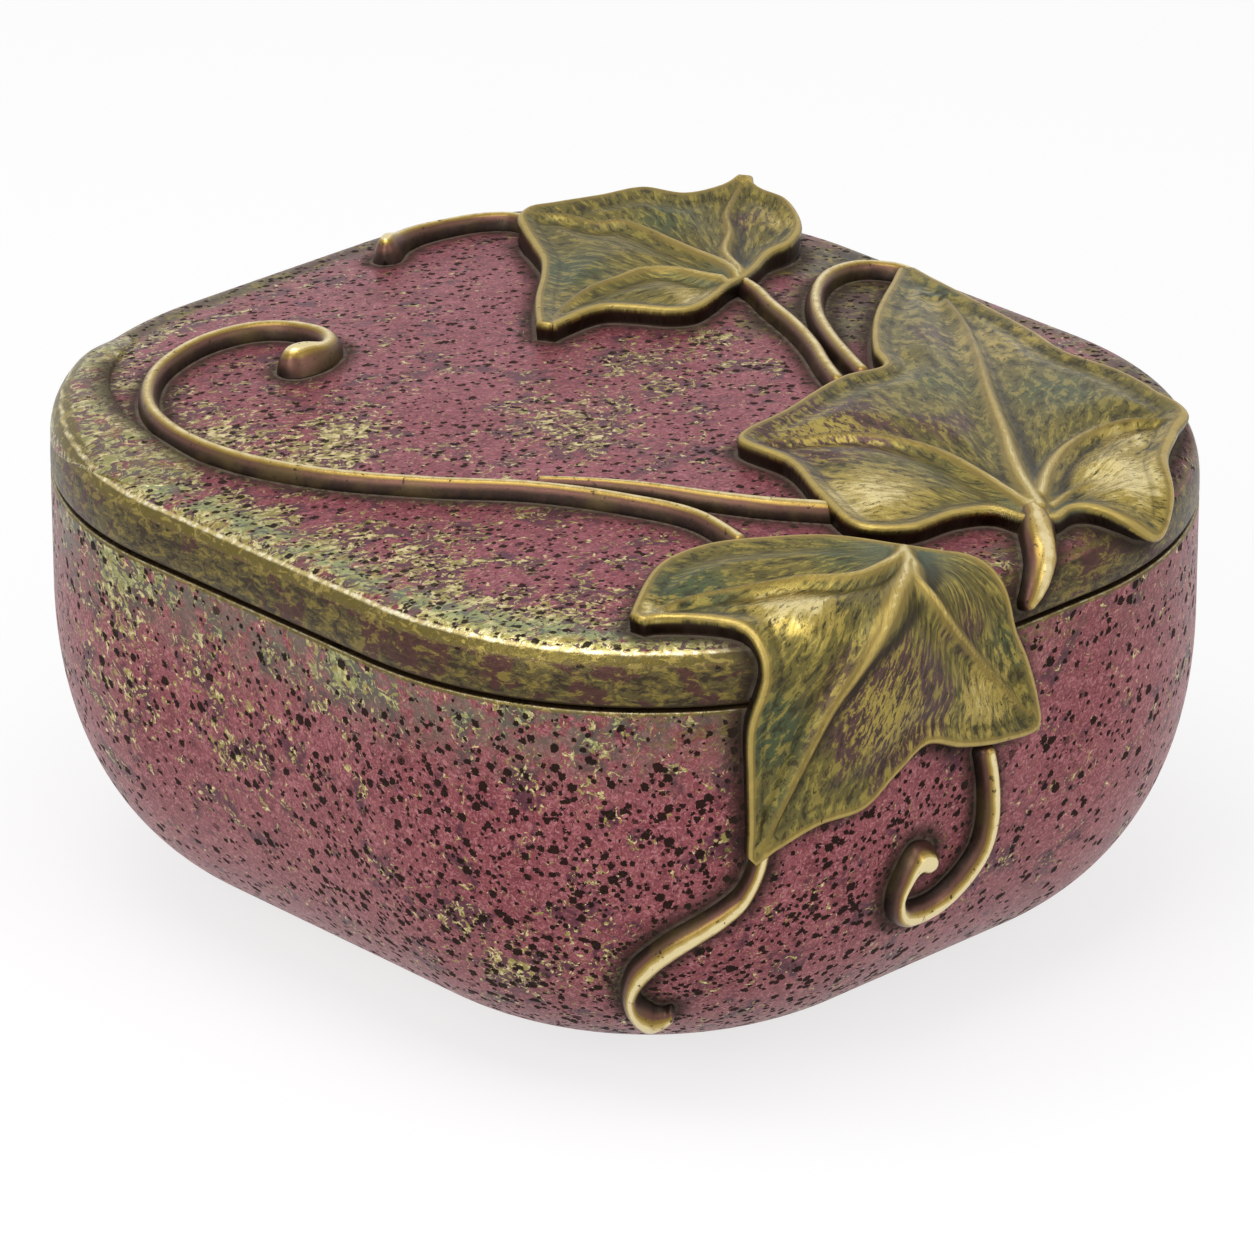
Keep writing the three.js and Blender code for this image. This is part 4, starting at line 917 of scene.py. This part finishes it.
def ivy_leaf(name, outline, ribs, lift, junction):
    edge_line = smooth_line(outline, 24, closed=True)
    loop = edge_line + edge_line[:1]
    across = [p.x for p in loop]
    along = [p.y for p in loop]
    size = (max(across) - min(across) + 4, max(along) - min(along) + 4)
    middle = Vector(((max(across) + min(across)) / 2, (max(along) + min(along)) / 2, 0))

    # A blank with the leaf's outline says what of a square net lies inside it
    blank = bmesh.new()
    blank.faces.new([blank.verts.new((p.x, p.y, 0)) for p in edge_line])
    blank.normal_update()
    bmesh.ops.triangulate(blank, faces=blank.faces)
    template = BVHTree.FromBMesh(blank)
    blank.free()
    edge_tree = nearest_of(evenly(loop, round(evenly(loop, 10)[1] / 0.12))[0])

    def inside(co):
        return template.ray_cast(Vector((co.x, co.y, 1)), Vector((0, 0, -1)))[0] is not None

    def from_edge(co):
        spot, _, distance = edge_tree.find(Vector((co.x, co.y, 0)))
        return spot, distance

    bm = bmesh.new()
    crest, hollow, heart, wall, fan_turn, fan_run = (
        bm.verts.layers.float.new(label)
        for label in ("crest", "hollow", "heart", "wall", "fan_turn", "fan_run")
    )
    outward = bm.verts.layers.float_vector.new("outward")
    bmesh.ops.create_grid(
        bm, x_segments=round(size[0] / CELL), y_segments=round(size[1] / CELL), size=0.5,
        matrix=Matrix.Translation(middle) @ Matrix.Diagonal((size[0], size[1], 1, 1)),
    )
    spare = []
    for v in bm.verts:
        if not inside(v.co) or from_edge(v.co)[1] < RIM_ROLL + 0.1:
            spare.append(v)
    bmesh.ops.delete(bm, geom=spare, context="VERTS")
    loose = [f for f in bm.faces if sum(e.is_boundary for e in f.edges) >= 3]
    bmesh.ops.delete(bm, geom=loose, context="FACES")
    bmesh.ops.delete(bm, geom=[v for v in bm.verts if not v.link_faces], context="VERTS")

    # The net's brink is drawn on to the line where the rim starts to roll, and evened out
    brink = [v for v in bm.verts if v.is_boundary]
    for _ in range(3):
        for v in brink:
            spot, distance = from_edge(v.co)
            away = (spot - v.co).normalized()
            v.co += away * (distance - RIM_ROLL)
        moved = {}
        for v in brink:
            beside = [e.other_vert(v).co for e in v.link_edges if e.is_boundary]
            moved[v] = sum(beside, Vector()) / len(beside)
        for v, co in moved.items():
            v.co = v.co.lerp(co, 0.5)
    for v in brink:
        spot, distance = from_edge(v.co)
        away = (spot - v.co).normalized()
        v.co += away * (distance - RIM_ROLL)
        v[outward] = away
    inner = [v for v in bm.verts if not v.is_boundary and from_edge(v.co)[1] < 4]
    for _ in range(6):
        bmesh.ops.smooth_vert(bm, verts=inner, factor=0.5, use_axis_x=True, use_axis_y=True)

    # Blade, ribs and hollows: each spot's distance from the edge and the ribs sets its height and tones,
    # with its painted highlight and painted shade
    rib_lines = []
    for route, width, height in ribs:
        line, length = evenly(smooth_line(route, 12), max(20, round(length_of(route) / 0.25)))
        rib_lines.append((nearest_of(line), len(line) - 1, width, height))
    heart_at = Vector((junction[0], junction[1], 0))
    for v in bm.verts:
        co = Vector((v.co.x, v.co.y, 0))
        edge_off = from_edge(co)[1]
        rib = 0.0
        sharp = 0.0
        nearest = max(edge_off - 1.5, 0)
        foot = 9.0
        for tree, last, width, height in rib_lines:
            spot, i, off = tree.find(co)
            share = i / last
            half = RIB_SPREAD * width * (1 - 0.6 * share)
            top = RIB_STAND * height * (1 - 0.5 * share)
            rib = max(rib, top * (0.5 + 0.5 * math.cos(math.pi * min(off / half, 1))))
            sharp = max(sharp, (1 - min(off / (0.8 * half), 1)) * (1 - 0.35 * share))
            nearest = min(nearest, max(off - 0.4 * half, 0))
            lee = (co - spot).normalized().dot(AWAY_FROM_WINDOW)
            foot = min(foot, abs(off - 0.95 * half) + 1.5 * share + 1.1 * (1 - lee))
        blade = BLADE_THIN + BLADE_SWELL * ease(nearest / SWELL_RUN)
        roll = ROLL_HIGH * (1 - ease((edge_off - RIM_ROLL) / ROLL_RUN))
        v[crest] = max(min(sharp * 1.15, 1), 0.86 - 0.86 * ease((edge_off - RIM_ROLL) / 1.4))
        # Painted shade in the lee of each rib, away from the light, and in a line just inside the rim
        lee_and_rim_shade = max(1 - ease(foot / LEE_SHADE_RUN), 0.6 - abs(edge_off - RIM_SHADE_IN) / 1.2)
        v[hollow] = lee_and_rim_shade * (1 - v[crest])
        v[heart] = 1 - ease(((co - heart_at).length - 2) / 10)
        v.co.z = blade + max(roll, rib * ease(edge_off / 2.5)) + lift(co.x, co.y)

    # Rolled rim: rows drawn out from the edge, each [out, down, crest, wall]. Below it the wall's rows
    # go a share of the way down to the underside, each [out, share, crest, wall]. Crest sets a row's
    # gold and painted highlight, wall its painted shade.
    rim_rows = [
        (0.34, 0.05, 0.88, 0), (0.62, 0.24, 0.85, 0.05), (0.82, 0.52, 0.6, 0.15), (0.9, 0.9, 0.35, 0.35),
        (0.88, 1.35, 0.2, 0.6),
    ]
    wall_rows = [
        (0.8, 0.35, 0.1, 0.85), (0.72, 0.65, 0.05, 1), (0.72, 0.9, 0, 1), (0.95, 1.0, 0.1, 1),
        (0, 1.0, 0, 1),
    ]
    seat = bmesh.ops.duplicate(bm, geom=bm.faces[:])["geom"]
    seat_verts = [g for g in seat if isinstance(g, bmesh.types.BMVert)]
    seat_faces = [g for g in seat if isinstance(g, bmesh.types.BMFace)]
    edges = [e for e in bm.edges if e.is_boundary and e.verts[0] not in set(seat_verts)]
    out_before, down_before = 0, 0
    for row, (out, down, crest_here, wall_here) in enumerate(rim_rows + wall_rows):
        if row == len(rim_rows):
            down_before = 0
        grown = bmesh.ops.extrude_edge_only(bm, edges=edges)["geom"]
        edges = [g for g in grown if isinstance(g, bmesh.types.BMEdge)]
        for v in [g for g in grown if isinstance(g, bmesh.types.BMVert)]:
            v.co.x += v[outward].x * (out - out_before)
            v.co.y += v[outward].y * (out - out_before)
            v[crest], v[hollow], v[wall] = crest_here, 0, wall_here
            if row < len(rim_rows):
                v.co.z -= down - down_before
            else:
                low = underside(v.co.x, v.co.y, lift)
                share = (down - down_before) / (1 - down_before) if down_before < 1 else 1
                v.co.z += (low - v.co.z) * share
        out_before, down_before = out, down
    # The underside gets the walls' painted shade and no crest
    for v in seat_verts:
        v.co.z = underside(v.co.x, v.co.y, lift)
        v[wall] = 1
        v[crest] = 0
    bmesh.ops.reverse_faces(bm, faces=seat_faces)
    bmesh.ops.remove_doubles(bm, verts=[v for v in bm.verts if v.is_boundary], dist=0.02)

    # Brush marks fan out from the stalk, so each spot notes its turn and its run from there
    tip = ribs[0][0][-1]
    heading = math.atan2(tip[1] - junction[1], tip[0] - junction[0])
    for v in bm.verts:
        turn = math.atan2(v.co.y - junction[1], v.co.x - junction[0]) - heading
        v[fan_turn] = math.remainder(turn, math.tau) * FAN_ARM * MM
        v[fan_run] = math.dist(v.co[:2], junction) / FAN_DRAW * MM
        v.co = on_skin(*v.co)
    bmesh.ops.recalc_face_normals(bm, faces=bm.faces)
    return made(bm, name)


leaf_bronze = leaf_finish("relief_bronze_leaves")
leaves = []
for node_name, shape in LEAVES.items():
    leaf = ivy_leaf(node_name + "_relief", **shape)
    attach(leaf, "lid")
    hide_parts(node_name)
    leaf.data.materials.append(leaf_bronze)
    leaves.append(leaf)

# The side leaf's stalk: a bronze rod as thick as the ribs where they meet, tapering down over the
# lid's edge, soldered on like the other rods.
stalk = vine(
    "ivy_stalk_side", wide=(5.8, 5.8, 5.4, 4.6, 2.8), high=(4.6, 4.3, 3.6, 3.0, 2.2),
    route=[(15.5, 18.5), (13.5, 15), (10, 11), (6, 6.5), (2.2, 2.4)],
)
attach(stalk, "lid")
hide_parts("ivy_leaf_side")
stalk.data.materials.append(rod_bronze)
rods.append(stalk)


# Raised border at one corner of the lid: a low swelling cast with the lid itself, lustred like it, with
# a crisp inner foot, fading out to the edge. Its section gives [share of half width, share of height].
SWELL = [(-1, 0.3), (-0.9, 0.85), (-0.55, 1), (0, 0.85), (0.5, 0.45), (1, 0)]


def swell_section(turn):
    if turn < 0.06:
        return -1, -1 + turn / 0.06 * 1.3
    if turn > 0.97:
        return 1, -1
    place = (turn - 0.06) / 0.91 * (len(SWELL) - 1)
    i = min(int(place), len(SWELL) - 2)
    return tuple(a + (b - a) * (place - i) for a, b in zip(SWELL[i], SWELL[i + 1]))


border = vine(
    "lid_corner_border", wide=(14, 14), high=(0, 1.15, 1.15, 1.15, 1.15, 0.5, 0), section=swell_section,
    route=[
        (-37, 178), (-45, 175), (-52.5, 170), (-58.6, 164), (-63.4, 157), (-67, 149.5), (-69, 141.5),
        (-70, 132), (-70, 122),
    ],
)
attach(border, "lid")
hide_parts("lid_shell")
border.data.materials.append(lid_lustre)

# The lid is milled behind for its hinge leaf, as the body is
cut_away(lid_casting, (-RECESS_HALF, RECESS_HALF), RECESS_DEEP, (SEAM, LID_FOOT + 1.6))
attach(lid_casting, "lid")
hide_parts("lid_shell")


# Linings: plum velvet wrapped over thin card and foam, one piece on the floor of the well, one round its
# wall and one under the lid, each glued in. A thin green felt is glued under the foot, to slide on.
# Velvet is matt with a soft sheen from its pile. The pile's threads are 0.1 mm, drawn as tufts of 0.7 mm
# on the velvet and 0.9 mm on the felt so that they show, and the pile's lay shifts over about 14 mm.
NAP_LAY = 14
NAP_DEEP = 0.2 * MM
LINING_GAP = 0.3
FLOOR_Z, PAD_THICK = 4.1, 2.5
WALL_PAD, LID_PAD = 1.7, 2.6
FELT_THICK = 1.2


def cloth(name, dark, light, pile, roughness):
    material, tree, shader = started(name)
    place = add(tree, "TexCoord", give="Object")
    nap = add(tree, "TexNoise", {"Vector": place, "Scale": 1 / (pile * MM), "Detail": 3.0})
    lay = add(tree, "TexNoise", {"Vector": place, "Scale": 1 / (NAP_LAY * MM), "Detail": 3.0})
    both = add(tree, "Math", {0: nap, 1: 0.5, 2: lay}, operation="MULTIPLY_ADD")
    mixed = add(tree, "MapRange", {0: both, 1: 0.55, 2: 0.95})
    colour = add(tree, "Mix", {0: mixed, 6: linear(dark), 7: linear(light)}, give=2, data_type="RGBA")
    tree.links.new(colour, shader.inputs["Base Color"])
    shader.inputs["Roughness"].default_value = roughness
    shader.inputs["Sheen Weight"].default_value = 0.6
    shader.inputs["Sheen Roughness"].default_value = 0.4
    bump = add(tree, "Bump", {"Height": nap, "Strength": 0.5, "Distance": NAP_DEEP})
    tree.links.new(bump, shader.inputs["Normal"])
    return material


velvet = cloth("plum_velvet", "#341f2a", "#573443", 0.7, 0.9)
green_felt = cloth("green_felt", "#1f261c", "#353f30", 0.9, 1.0)


def soft_piece(name, line, body, node_name, covering):
    piece = made(carried_round(line, 20, 6, 8), name)
    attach(piece, body)
    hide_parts(node_name)
    piece.data.materials.append(covering)
    return piece


def radius_at(line, z):
    """How far out a profile lies at a height."""
    for (r0, z0), (r1, z1) in zip(line, line[1:]):
        if z0 >= z >= z1 and z0 > z1:
            return r0 + (r1 - r0) * (z0 - z) / (z0 - z1)
    return line[-1][0]


lining_out = moved_out(body_outline(60), -WALL - LINING_GAP)
pad_top = FLOOR_Z + PAD_THICK
pad_line = [(0, FLOOR_Z), (FOOT_R, FLOOR_Z)]
pad_line += [(radius_at(lining_out, FLOOR_Z + k) - 0.2, FLOOR_Z + k) for k in (0.4, 0.9, 1.4)]
edge_r = pad_line[-1][0]
for inwards, down in ((0.1, 0.7), (0.6, 0.35), (1.6, 0.15)):
    pad_line.append((edge_r - inwards, pad_top - down))
pad_line += [(edge_r * k, pad_top) for k in (0.75, 0.5, 0.25, 0)]
floor_pad = soft_piece("velvet_floor_pad", pad_line, "body", "well_floor_pad", velvet)

lining_top, lining_foot = ledge - LINING_GAP, pad_top + LINING_GAP
LINING_ROWS = 24
levels = [lining_foot + (lining_top - lining_foot) * k / LINING_ROWS for k in range(LINING_ROWS + 1)]
straight_top = (CORNER - WALL - LINING_GAP, 70)
outer = [(radius_at([straight_top] + lining_out, z), z) for z in levels]
inner = moved_out(outer[::-1], -WALL_PAD)[::-1]
wall_line = outer[:-1] + [(outer[-1][0] - 0.3, lining_top)]
wall_line += [(inner[-1][0] + 0.4, lining_top), (inner[-1][0], lining_top - 0.5)] + inner[-2:0:-1]
wall_line += [(inner[0][0] + 0.4, lining_foot)]
wall_lining = soft_piece(
    "velvet_wall_lining", wall_line, "body", "well_wall_lining", velvet
)

lid_pad_top = EDGE_TOP - LID_CEILING - LINING_GAP
lid_pad_foot = lid_pad_top - LID_PAD
lid_pad_line = [(ceiling_r * k, lid_pad_foot) for k in (0, 0.3, 0.6, 0.9)]
for inwards, up in ((2.2, 0.15), (0.9, 0.5), (0.2, 1.1), (0, 1.8), (0, LID_PAD)):
    lid_pad_line.append((ceiling_r - inwards, lid_pad_foot + up))
for k in (0.75, 0.5, 0.25, 0):
    lid_pad_line.append((ceiling_r * k, lid_pad_top + DOME * (1 - k * k)))
lid_pad = soft_piece("velvet_lid_pad", lid_pad_line, "lid", "lid_lining_pad", velvet)

felt_edge = FOOT_R - FELT_IN
felt_line = [(0, 0.05), (felt_edge - 0.4, 0.0), (felt_edge, 0.3), (felt_edge, 1.0)]
felt_line += [(felt_edge - 0.2, FELT_THICK), (0, FELT_THICK)]
base_felt = soft_piece("foot_felt", felt_line, "body", "base_felt", green_felt)
felt_area = 4 * HALF_ACROSS * HALF_ALONG + 4 * (HALF_ACROSS + HALF_ALONG) * felt_edge
felt_area += math.pi * felt_edge**2


# Soot and painted shade: dark patina where a cloth can't reach, and painted shade in every corner, along
# the ornament, along the border's foot and in the seam. Each spot of the castings notes its distance in
# mm from the nearest.
FAR_OFF = 20
BORDER_FOOT = [
    (-39.4, 169.4), (-44.3, 167.6), (-49.1, 164.5), (-53.2, 160.8), (-56.2, 156.9), (-59, 151.7),
    (-61.1, 146.8), (-62.2, 141.7), (-62.5, 138.8), (-62.8, 132),
]
FOOT_STEPS, FOOT_FADE = 80, 16
ornament = bmesh.new()
for piece in leaves + rods:
    ornament.from_mesh(piece.data)
ornament_tree = BVHTree.FromBMesh(ornament)
ornament.free()
for casting in (lid_casting, body_casting, border):
    nearness = []
    for v in casting.data.vertices:
        found = ornament_tree.find_nearest(v.co, FAR_OFF * MM)
        nearness.append(found[3] / MM if found[0] is not None else FAR_OFF)
    noted = casting.data.attributes.new("to_ornament", "FLOAT", "POINT")
    noted.data.foreach_set("value", nearness)
foot_line = evenly(smooth_line(BORDER_FOOT, 10), FOOT_STEPS)[0]
foot_tree = KDTree(len(foot_line))
for i, p in enumerate(foot_line):
    foot_tree.insert(on_skin(p.x, p.y, 0.5), i)
foot_tree.balance()
for casting in (lid_casting, border):
    for v, near in zip(casting.data.vertices, casting.data.attributes["to_ornament"].data):
        spot, i, distance = foot_tree.find(v.co / MM)
        fade = min(i, FOOT_STEPS - i) / FOOT_FADE
        near.value = min(near.value, distance + 0.3 + 6 * (1 - min(fade, 1)))
        # The lid's lowest 1.5 mm counts as near too, for painted shade in the seam
        above = v.co.z / MM - LID_FOOT
        if casting == lid_casting and above < 1.5:
            near.value = min(near.value, 0.9 + 2 * above)


# Patina and wear: dabbed on the castings and rubbed back by hand, thickest at the left and along the
# edges, with painted highlights on the worn edges and painted shade on the body's rim in the seam. A dab
# is
# [u, w, radius in mm, strength], and each zone's strength is noted on every spot.
FLECKED = [
    (-51.7, 114.7, 16, 0.9), (-57, 132.7, 14, 0.75), (-57, 152.4, 14, 0.6), (-65.4, 71.5, 14, 0.7),
    (-67.8, 37.2, 12, 0.75), (-45, 79.7, 14, 0.5), (-12, 91, 16, 0.6), (10, 101, 14, 0.5),
    (26, 100, 11, 0.5), (-7.4, 80.3, 9, 0.3), (-52.7, 22, 8, 0.8), (-70, 144.7, 12, 0.7),
    (-89, 127.3, 14, 0.7), (-105, 100, 14, 0.45), (-86.7, 76, 12, 0.7), (-83.8, 25.8, 9, 0.3),
    (-103, 129, 18, 0.5), (-112, -5, 8, 0.5), (-127, 25, 9, 0.5), (28, 8, 8, 0.7), (60, 79, 10, 0.4),
]
BROWNED = [
    (59.8, 79.2, 16, 0.8), (72, 45, 14, 0.8), (28, 9, 12, 0.8), (70, 112, 14, 0.8),
    (50, 94, 12, 1.0), (60, 102, 10, 1.0), (80, 100, 14, 0.8), (60, 152, 14, 0.6),
    (66, 118, 12, 0.8), (38, 100, 8, 0.6),
]


def beyond(x, y):
    """How far a place lies out from the inner rectangle, in mm."""
    return math.hypot(max(abs(x) - HALF_ACROSS, 0), max(abs(y) - HALF_ALONG, 0))


def hump(x, middle, width):
    """1 in the middle, fading to nothing on both sides."""
    return math.exp(-(((x - middle) / width) ** 2))


def dabbed(spot, dabs):
    return max(s * math.exp(-(((spot - at).length / r) ** 2)) for at, r, s in dabs)


def paint(casting, zones_of):
    values = {}
    for v in casting.data.vertices:
        for zone, value in zones_of(v.co / MM, v.normal).items():
            values.setdefault(zone, []).append(value)
    for zone, value in values.items():
        casting.data.attributes.new(zone, "FLOAT", "POINT").data.foreach_set("value", value)


flecked = [(on_skin(u, w, 0), r, s) for u, w, r, s in FLECKED]
browned = [(on_skin(u, w, 0), r, s) for u, w, r, s in BROWNED]


def lid_zones(spot, normal):
    out = beyond(spot.x, spot.y)
    left = ease((-spot.x - spot.y * 0.15 + 5) / 60)
    inner = spot.z < EDGE_TOP - 2.4 and out < CORNER - 2.2 or normal.z < -0.5
    near_edge = ease((out - 38) / 17)
    side = 1 - ease((normal.z - 0.24) / 0.3)
    back = ease((spot.y - 30) / 30)
    gilt_behind = hump(normal.z, 0.86, 0.08) * back
    brown_edge = hump(out, 55, 3.5) * max(0.45 - 0.45 * left, 0.6 * back)
    return {
        "inside": 1.0 if inner else 0.0,
        "flecks": max(dabbed(spot, flecked), near_edge * (0.25 + 0.6 * left), 0.25 * left) * (1 - side),
        "greened": hump(out, 54.5, 3.2) * (0.4 + 0.6 * left),
        # Wear and painted highlight: a bright band along the rounded edge, brighter on the left
        "rubbed": hump(normal.z, 0.74, 0.1) * (0.5 + 0.45 * left),
        "gilt": max(hump(normal.z, 0.56, 0.22), gilt_behind) * (0.5 + 0.3 * left),
        "banded": max(side, dabbed(spot, browned), brown_edge),
        "pitted": 0.27 * (1 - side),
    }


def border_zones(spot, normal):
    return lid_zones(spot, normal) | {"banded": 0.28, "pitted": 0.05, "greened": 0.5, "flecks": 0.75}


def body_zones(spot, normal):
    out = beyond(spot.x, spot.y)
    left = ease((-spot.x - 20) / 60)
    # The rim's top lies in the seam: it takes the inside tone as painted shade
    rim_in_seam_shade = spot.z > BODY_TOP - 0.1 and out < CORNER - 0.3
    inner = rim_in_seam_shade or out < radius_at(skin, max(spot.z, FOOT + 0.01)) - 1.5 and spot.z > 2
    under_seam = ease((spot.z - 54) / 17)
    front = ease((-spot.x - spot.y - 60) / 60)
    upper_band = ease((spot.z - 56) / 12) * (0.2 + 0.5 * front * (1 - left))
    # Brown layers darker towards the bottom, on the right side
    lower_band = 0.42 * ease((28 - spot.z) / 26) * (1 - left)
    return {
        "inside": 1.0 if inner else 0.0,
        "flecks": max(dabbed(spot, flecked), under_seam * 0.3 * left),
        "greened": under_seam * (0.15 + 0.65 * left),
        # Wear and painted highlight along the top edge of the rim
        "rubbed": ease((spot.z - BODY_TOP + 0.5) / 0.25) * 0.68,
        "gilt": ease((spot.z - BODY_TOP + 1.1) / 0.6) * 0.55,
        "banded": max(upper_band, lower_band),
        "pitted": 0.21 + 0.28 * front * (1 - under_seam),
    }


# On the leaves: rubbed gold with painted highlights, green and plum
LEAF_TONES = {
    "rubbed": [
        (-3, 35.4, 11, 0.95), (35.4, 15.8, 12, 1.0), (9.7, 19.4, 5, 0.8), (-38, 17, 8, 1.1),
        (-55, 30, 6, 0.8), (33.6, 111.4, 6, 0.9), (66.1, 126.9, 6, 0.7), (57, 66, 14, 0.55),
        (52, 24, 6, 0.6), (62, 88, 8, 0.5), (15, 122, 6, 0.5), (-8, -8, 9, 0.7), (46, 26, 8, 0.8),
        (-20, -14, 6, 0.6),
    ],
    "verdant": [
        (-46, 31, 9, 1.0), (-21, 24, 8, 0.8), (-52, 4, 9, 1.0), (-1, 0, 9, 0.8), (-55, -8, 8, 0.6),
        (36, 58, 12, 0.7), (48, 44, 12, 0.8), (12, 36, 8, 0.6), (66, 90, 9, 0.8), (25, 135, 11, 0.9),
        (52, 138, 10, 0.8), (40, 120, 8, 0.7),
    ],
    "wine": [
        (-30, -4, 13, 1.0), (-14, 4, 7, 0.5), (8, 58, 14, 1.0), (24, 46, 7, 0.6), (62, 130, 6, 0.6),
        (50, 75, 7, 0.5), (-5, 45, 5, 0.4),
    ],
}
for zone, dabs in LEAF_TONES.items():
    toned = [(on_skin(u, w, 3), r, s) for u, w, r, s in dabs]
    for leaf in leaves:
        paint(leaf, lambda spot, normal: {zone: dabbed(spot, toned)})
for casting, zones_of in ((lid_casting, lid_zones), (border, border_zones), (body_casting, body_zones)):
    paint(casting, zones_of)


# Hinge: two drawn brass leaves with knuckles on a steel pin, each let into its casting and held by three
# slotted steel screws. The shapes are the solids' own, so only their finish is given here.
# Drawn brass and turned steel are plain metals with fine lines along them from the die and the tool.
# The lines are 0.1 mm apart on the real ones and drawn at 0.4 mm to show, under tarnish clouds of 5 mm.
LINES, TARNISH = 0.4, 5
LINE_DRAW = 0.08
LINE_DEEP = 0.05 * MM


def drawn_metal(name, dark, light, roughness):
    material, tree, shader = started(name)
    place = add(tree, "TexCoord", give="Object")
    drawn = add(tree, "Mapping", {"Vector": place, "Scale": (LINE_DRAW, 1, 1)})
    lines = add(tree, "TexNoise", {"Vector": drawn, "Scale": 1 / (LINES * MM), "Detail": 3.0})
    tarnish = add(tree, "TexNoise", {"Vector": place, "Scale": 1 / (TARNISH * MM), "Detail": 4.0})
    both = add(tree, "Math", {0: lines, 1: 0.4, 2: tarnish}, operation="MULTIPLY_ADD")
    mixed = add(tree, "MapRange", {0: both, 1: 0.5, 2: 0.85})
    colour = add(tree, "Mix", {0: mixed, 6: linear(dark), 7: linear(light)}, give=2, data_type="RGBA")
    tree.links.new(colour, shader.inputs["Base Color"])
    uneven = add(tree, "Math", {0: tarnish, 1: 0.25, 2: roughness}, operation="MULTIPLY_ADD")
    tree.links.new(uneven, shader.inputs["Roughness"])
    shader.inputs["Metallic"].default_value = 1.0
    bump = add(tree, "Bump", {"Height": lines, "Strength": 0.3, "Distance": LINE_DEEP})
    tree.links.new(bump, shader.inputs["Normal"])
    return material


hinge_brass = drawn_metal("drawn_brass", "#6d5a2f", "#b79d5e", 0.28)
turned_steel = drawn_metal("turned_steel", "#6f6e69", "#a3a29b", 0.25)
for node_name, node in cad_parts.items():
    if node_name in ("hinge_body_leaf", "hinge_lid_leaf"):
        finish = hinge_brass
    elif node_name.startswith("hinge"):
        finish = turned_steel
    else:
        continue
    for own_slot in node.material_slots:
        own_slot.material = finish


# Studio: a sheet of white paper as the floor, showing white with the box's soft shadow on it, a white
# room and three broad soft lamps. What is seen straight or in the gloss is white, while the light
# that falls on the box is dimmer, so that the box isn't washed out.
FLOOR_HALF = 6
FLOOR_GLOW = 0.745
ROOM_LIGHT = 0.4


def seen_white(tree):
    """1 for what is seen straight or in a gloss, 0 for the light that falls on things."""
    by_camera = add(tree, "LightPath", give="Is Camera Ray")
    by_gloss = add(tree, "LightPath", give="Is Glossy Ray")
    return add(tree, "Math", {0: by_camera, 1: by_gloss}, operation="MAXIMUM")


bm = bmesh.new()
bmesh.ops.create_grid(bm, x_segments=1, y_segments=1, size=FLOOR_HALF)
mesh = bpy.data.meshes.new("floor")
bm.to_mesh(mesh)
bm.free()
floor = bpy.data.objects.new("floor", mesh)
bpy.context.scene.collection.objects.link(floor)
paper = bpy.data.materials.new("white_paper")
paper.use_nodes = True
tree = paper.node_tree
tree.nodes.clear()
matt = add(tree, "BsdfDiffuse", {"Color": linear("#989898")})
glow = add(tree, "Emission", {"Color": (1, 1, 1, 1), "Strength": FLOOR_GLOW})
unlit = add(tree, "Emission", {"Color": (0, 0, 0, 1), "Strength": 0.0})
lifted = add(tree, "MixShader", {0: seen_white(tree), 1: unlit, 2: glow})
both = add(tree, "AddShader", {0: matt, 1: lifted})
add(tree, "OutputMaterial", {"Surface": both})
floor.data.materials.append(paper)

world = bpy.data.worlds.new("studio")
bpy.context.scene.world = world
world.use_nodes = True
tree = world.node_tree
tree.nodes.clear()
white = add(tree, "Background", {"Color": (1, 1, 1, 1), "Strength": 1.0})
soft = add(tree, "Background", {"Color": (1, 1, 1, 1), "Strength": ROOM_LIGHT})
sky = add(tree, "MixShader", {0: seen_white(tree), 1: soft, 2: white})
add(tree, "OutputWorld", {"Surface": sky})


LAMP_AWAY = 1.3


def softbox(name, azimuth, elevation, size, watts):
    lamp = bpy.data.lights.new(name, "AREA")
    lamp.shape = "RECTANGLE"
    lamp.size, lamp.size_y = size
    lamp.energy = watts
    aimed(bpy.data.objects.new(name, lamp), azimuth, elevation, LAMP_AWAY)


softbox("overhead", -75, 76, (1.0, 0.8), 6.6)
softbox("left_front", -75, 30, (0.5, 0.8), 3.8)
softbox("right_front", 5, 32, (0.4, 0.7), 1.6)

bpy.context.scene.view_settings.view_transform = "Standard"
